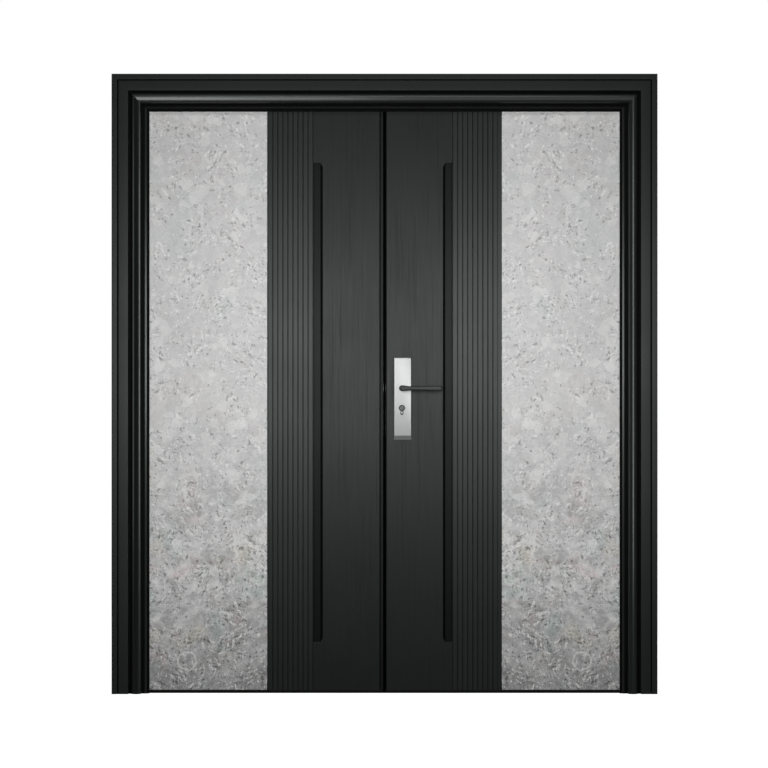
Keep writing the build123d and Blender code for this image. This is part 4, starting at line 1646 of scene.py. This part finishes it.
@dataclass
class Studio:
    """White room: camera, lamps, floor and world."""

    distance: float = 10.0
    view_width: float = 2.641
    sensor: float = 36.0
    clip_end: float = 100.0
    middle: Pair = (-0.0018, 1.0668)
    front: float = -0.072
    fill: float = 0.045
    glossy_share: float = 0.08
    floor_bounce: float = 0.15
    floor_pale: float = 0.35
    floor_glow: float = 0.97
    floor_z: float = -0.0005

    def camera(self) -> None:
        """Level camera square to the door; the lens gives the view's width at the casing's face."""
        data = bpy.data.cameras.new("camera")
        data.sensor_width = self.sensor
        data.lens = self.sensor * self.distance / self.view_width
        data.clip_end = self.clip_end
        camera = bpy.data.objects.new("camera", data)
        camera.location = (self.middle[0], self.front - self.distance, self.middle[1])
        camera.rotation_euler = (radians(90), 0, 0)
        bpy.context.scene.collection.objects.link(camera)
        bpy.context.scene.camera = camera

    def lamps(self) -> None:
        """Softboxes in front and overhead, flagged ones for the beads, three behind for the inner side."""
        left, right, head = "left_bead_cap", "right_bead_cap", "head_bead_cap"
        flagged = (left, right, head, "head_nose_cap")
        for lamp in (
            Softbox("key", (0.0, -1.66, 1.22), (0.0, 0.0, 1.22), (2.7, 0.6), 30.0, skips=flagged),
            Softbox("top", (0.0, -1.2, 3.2), (0.0, -0.05, 1.7), (1.8, 0.3), 8.0),
            Softbox("head", (0.0, -0.9, 1.9), (0.0, 0.0, 1.9), (2.3, 1.05), 6.8, only=(head,)),
            Softbox("head_left", (-0.68, -0.92, 1.9), (-0.68, 0.0, 1.9), (1.15, 1.05), 9.0, only=(head,)),
            Softbox("corner", (-0.9, -0.94, 1.9), (-0.9, 0.0, 1.9), (0.7, 1.05), 5.0, only=(head,)),
            Softbox("left", (-2.3, -0.8, 1.25), (0.85, -0.07, 1.25), (0.4, 1.6), 6.0, only=(left, right)),
            Softbox("right", (2.3, -0.8, 1.25), (-0.85, -0.07, 1.25), (0.4, 1.6), 33.0, only=(left,)),
            Softbox("jamb", (1.02, -1.66, 1.22), (1.02, 0.0, 1.22), (0.5, 1.7), 17.0, only=(right,)),
            Softbox("back", (0.3, 2.4, 1.7), (0.0, 0.0, 1.1), (2.6, 1.2), 36.0),
            Softbox("back_left", (-3.2, 1.5, 1.6), (0.0, 0.6, 1.0), (1.2, 1.6), 22.0),
            Softbox("back_right", (3.2, 1.5, 1.6), (0.0, 0.6, 1.0), (1.2, 1.6), 22.0),
        ):
            lamp.build()

    def seen(self, graph: Graph) -> Socket:
        """Share of white for a ray: full for camera and transmission rays, part for glossy ones.

        Args:
            graph: Graph of the world or of the floor's material.

        Returns:
            The share, between 0 and 1.
        """
        rays = graph.node("ShaderNodeLightPath").outputs
        part = graph.line(rays["Is Glossy Ray"], self.glossy_share, rays["Is Camera Ray"])
        return graph.out("ShaderNodeMath", part, rays["Is Transmission Ray"], use_clamp=True)

    def world(self) -> None:
        """White where the background is seen, a dim even fill for the rest."""
        world = bpy.data.worlds.new("room")
        graph = Graph(world)
        fill, white = (graph.out("ShaderNodeBackground", (v, v, v)) for v in (self.fill, 1.0))
        mix = graph.out("ShaderNodeMixShader", self.seen(graph), fill, white)
        graph.node("ShaderNodeOutputWorld", mix)
        bpy.context.scene.world = world

    def floor(self) -> None:
        """Pale floor: white where it is seen, with the door's shadow left in it."""
        mesh = bpy.data.meshes.new("floor")
        corners = [(x, y, self.floor_z) for x, y in ((-4.0, -2.4), (4.0, -2.4), (4.0, 5.0), (-4.0, 5.0))]
        mesh.from_pydata(corners, [], [[0, 1, 2, 3]])
        floor = bpy.data.objects.new("floor", mesh)
        bpy.context.scene.collection.objects.link(floor)
        material = bpy.data.materials.new("floor_white")
        graph = Graph(material)
        tones = (self.floor_bounce, self.floor_pale)
        bounce, pale = (graph.out("ShaderNodeBsdfDiffuse", (v, v, v)) for v in tones)
        glow = graph.out("ShaderNodeEmission", (1.0, 1.0, 1.0), self.floor_glow)
        lit = graph.out("ShaderNodeAddShader", glow, pale)
        mix = graph.out("ShaderNodeMixShader", self.seen(graph), bounce, lit)
        graph.node("ShaderNodeOutputMaterial", mix)
        mesh.materials.append(material)

    def build(self) -> None:
        """Set up the whole studio."""
        self.camera()
        self.lamps()
        self.world()
        self.floor()
        bpy.context.scene.view_settings.view_transform = "Standard"


def dress_nodes(finishes: Materials) -> None:
    """Give every CAD node the finish of its slot.

    Args:
        finishes: Material of each slot.
    """
    for row in frame["record"]["subparts"]:
        node = frame["nodes"][row["node"]]
        material = finishes[Slot(row["material_slot"]).value]
        if not node.material_slots:
            node.data.materials.append(material)
        for slot in node.material_slots:
            slot.material = material


def main() -> None:
    """Build the finishes, every piece and the studio, and report the pieces."""
    logging.basicConfig(level=logging.INFO, format="%(message)s", stream=sys.stdout)
    finishes = make_finishes()
    dress_nodes(finishes)
    groups = [
        FrameMoulding(),
        *(Hinges(side) for side in Side),
        WallFixings(),
        *(FlutedPanel(side, face) for side in Side for face in Face),
        *(PullSlot(side) for side in Side),
        MeetingSeal(),
        *(LockPlate(face) for face in Face),
        *(Lever(face) for face in Face),
        LockTrim(),
    ]
    for group in groups:
        for piece in group.pieces():
            piece.build(finishes)
    Studio().build()


if __name__ == "__main__":
    main()
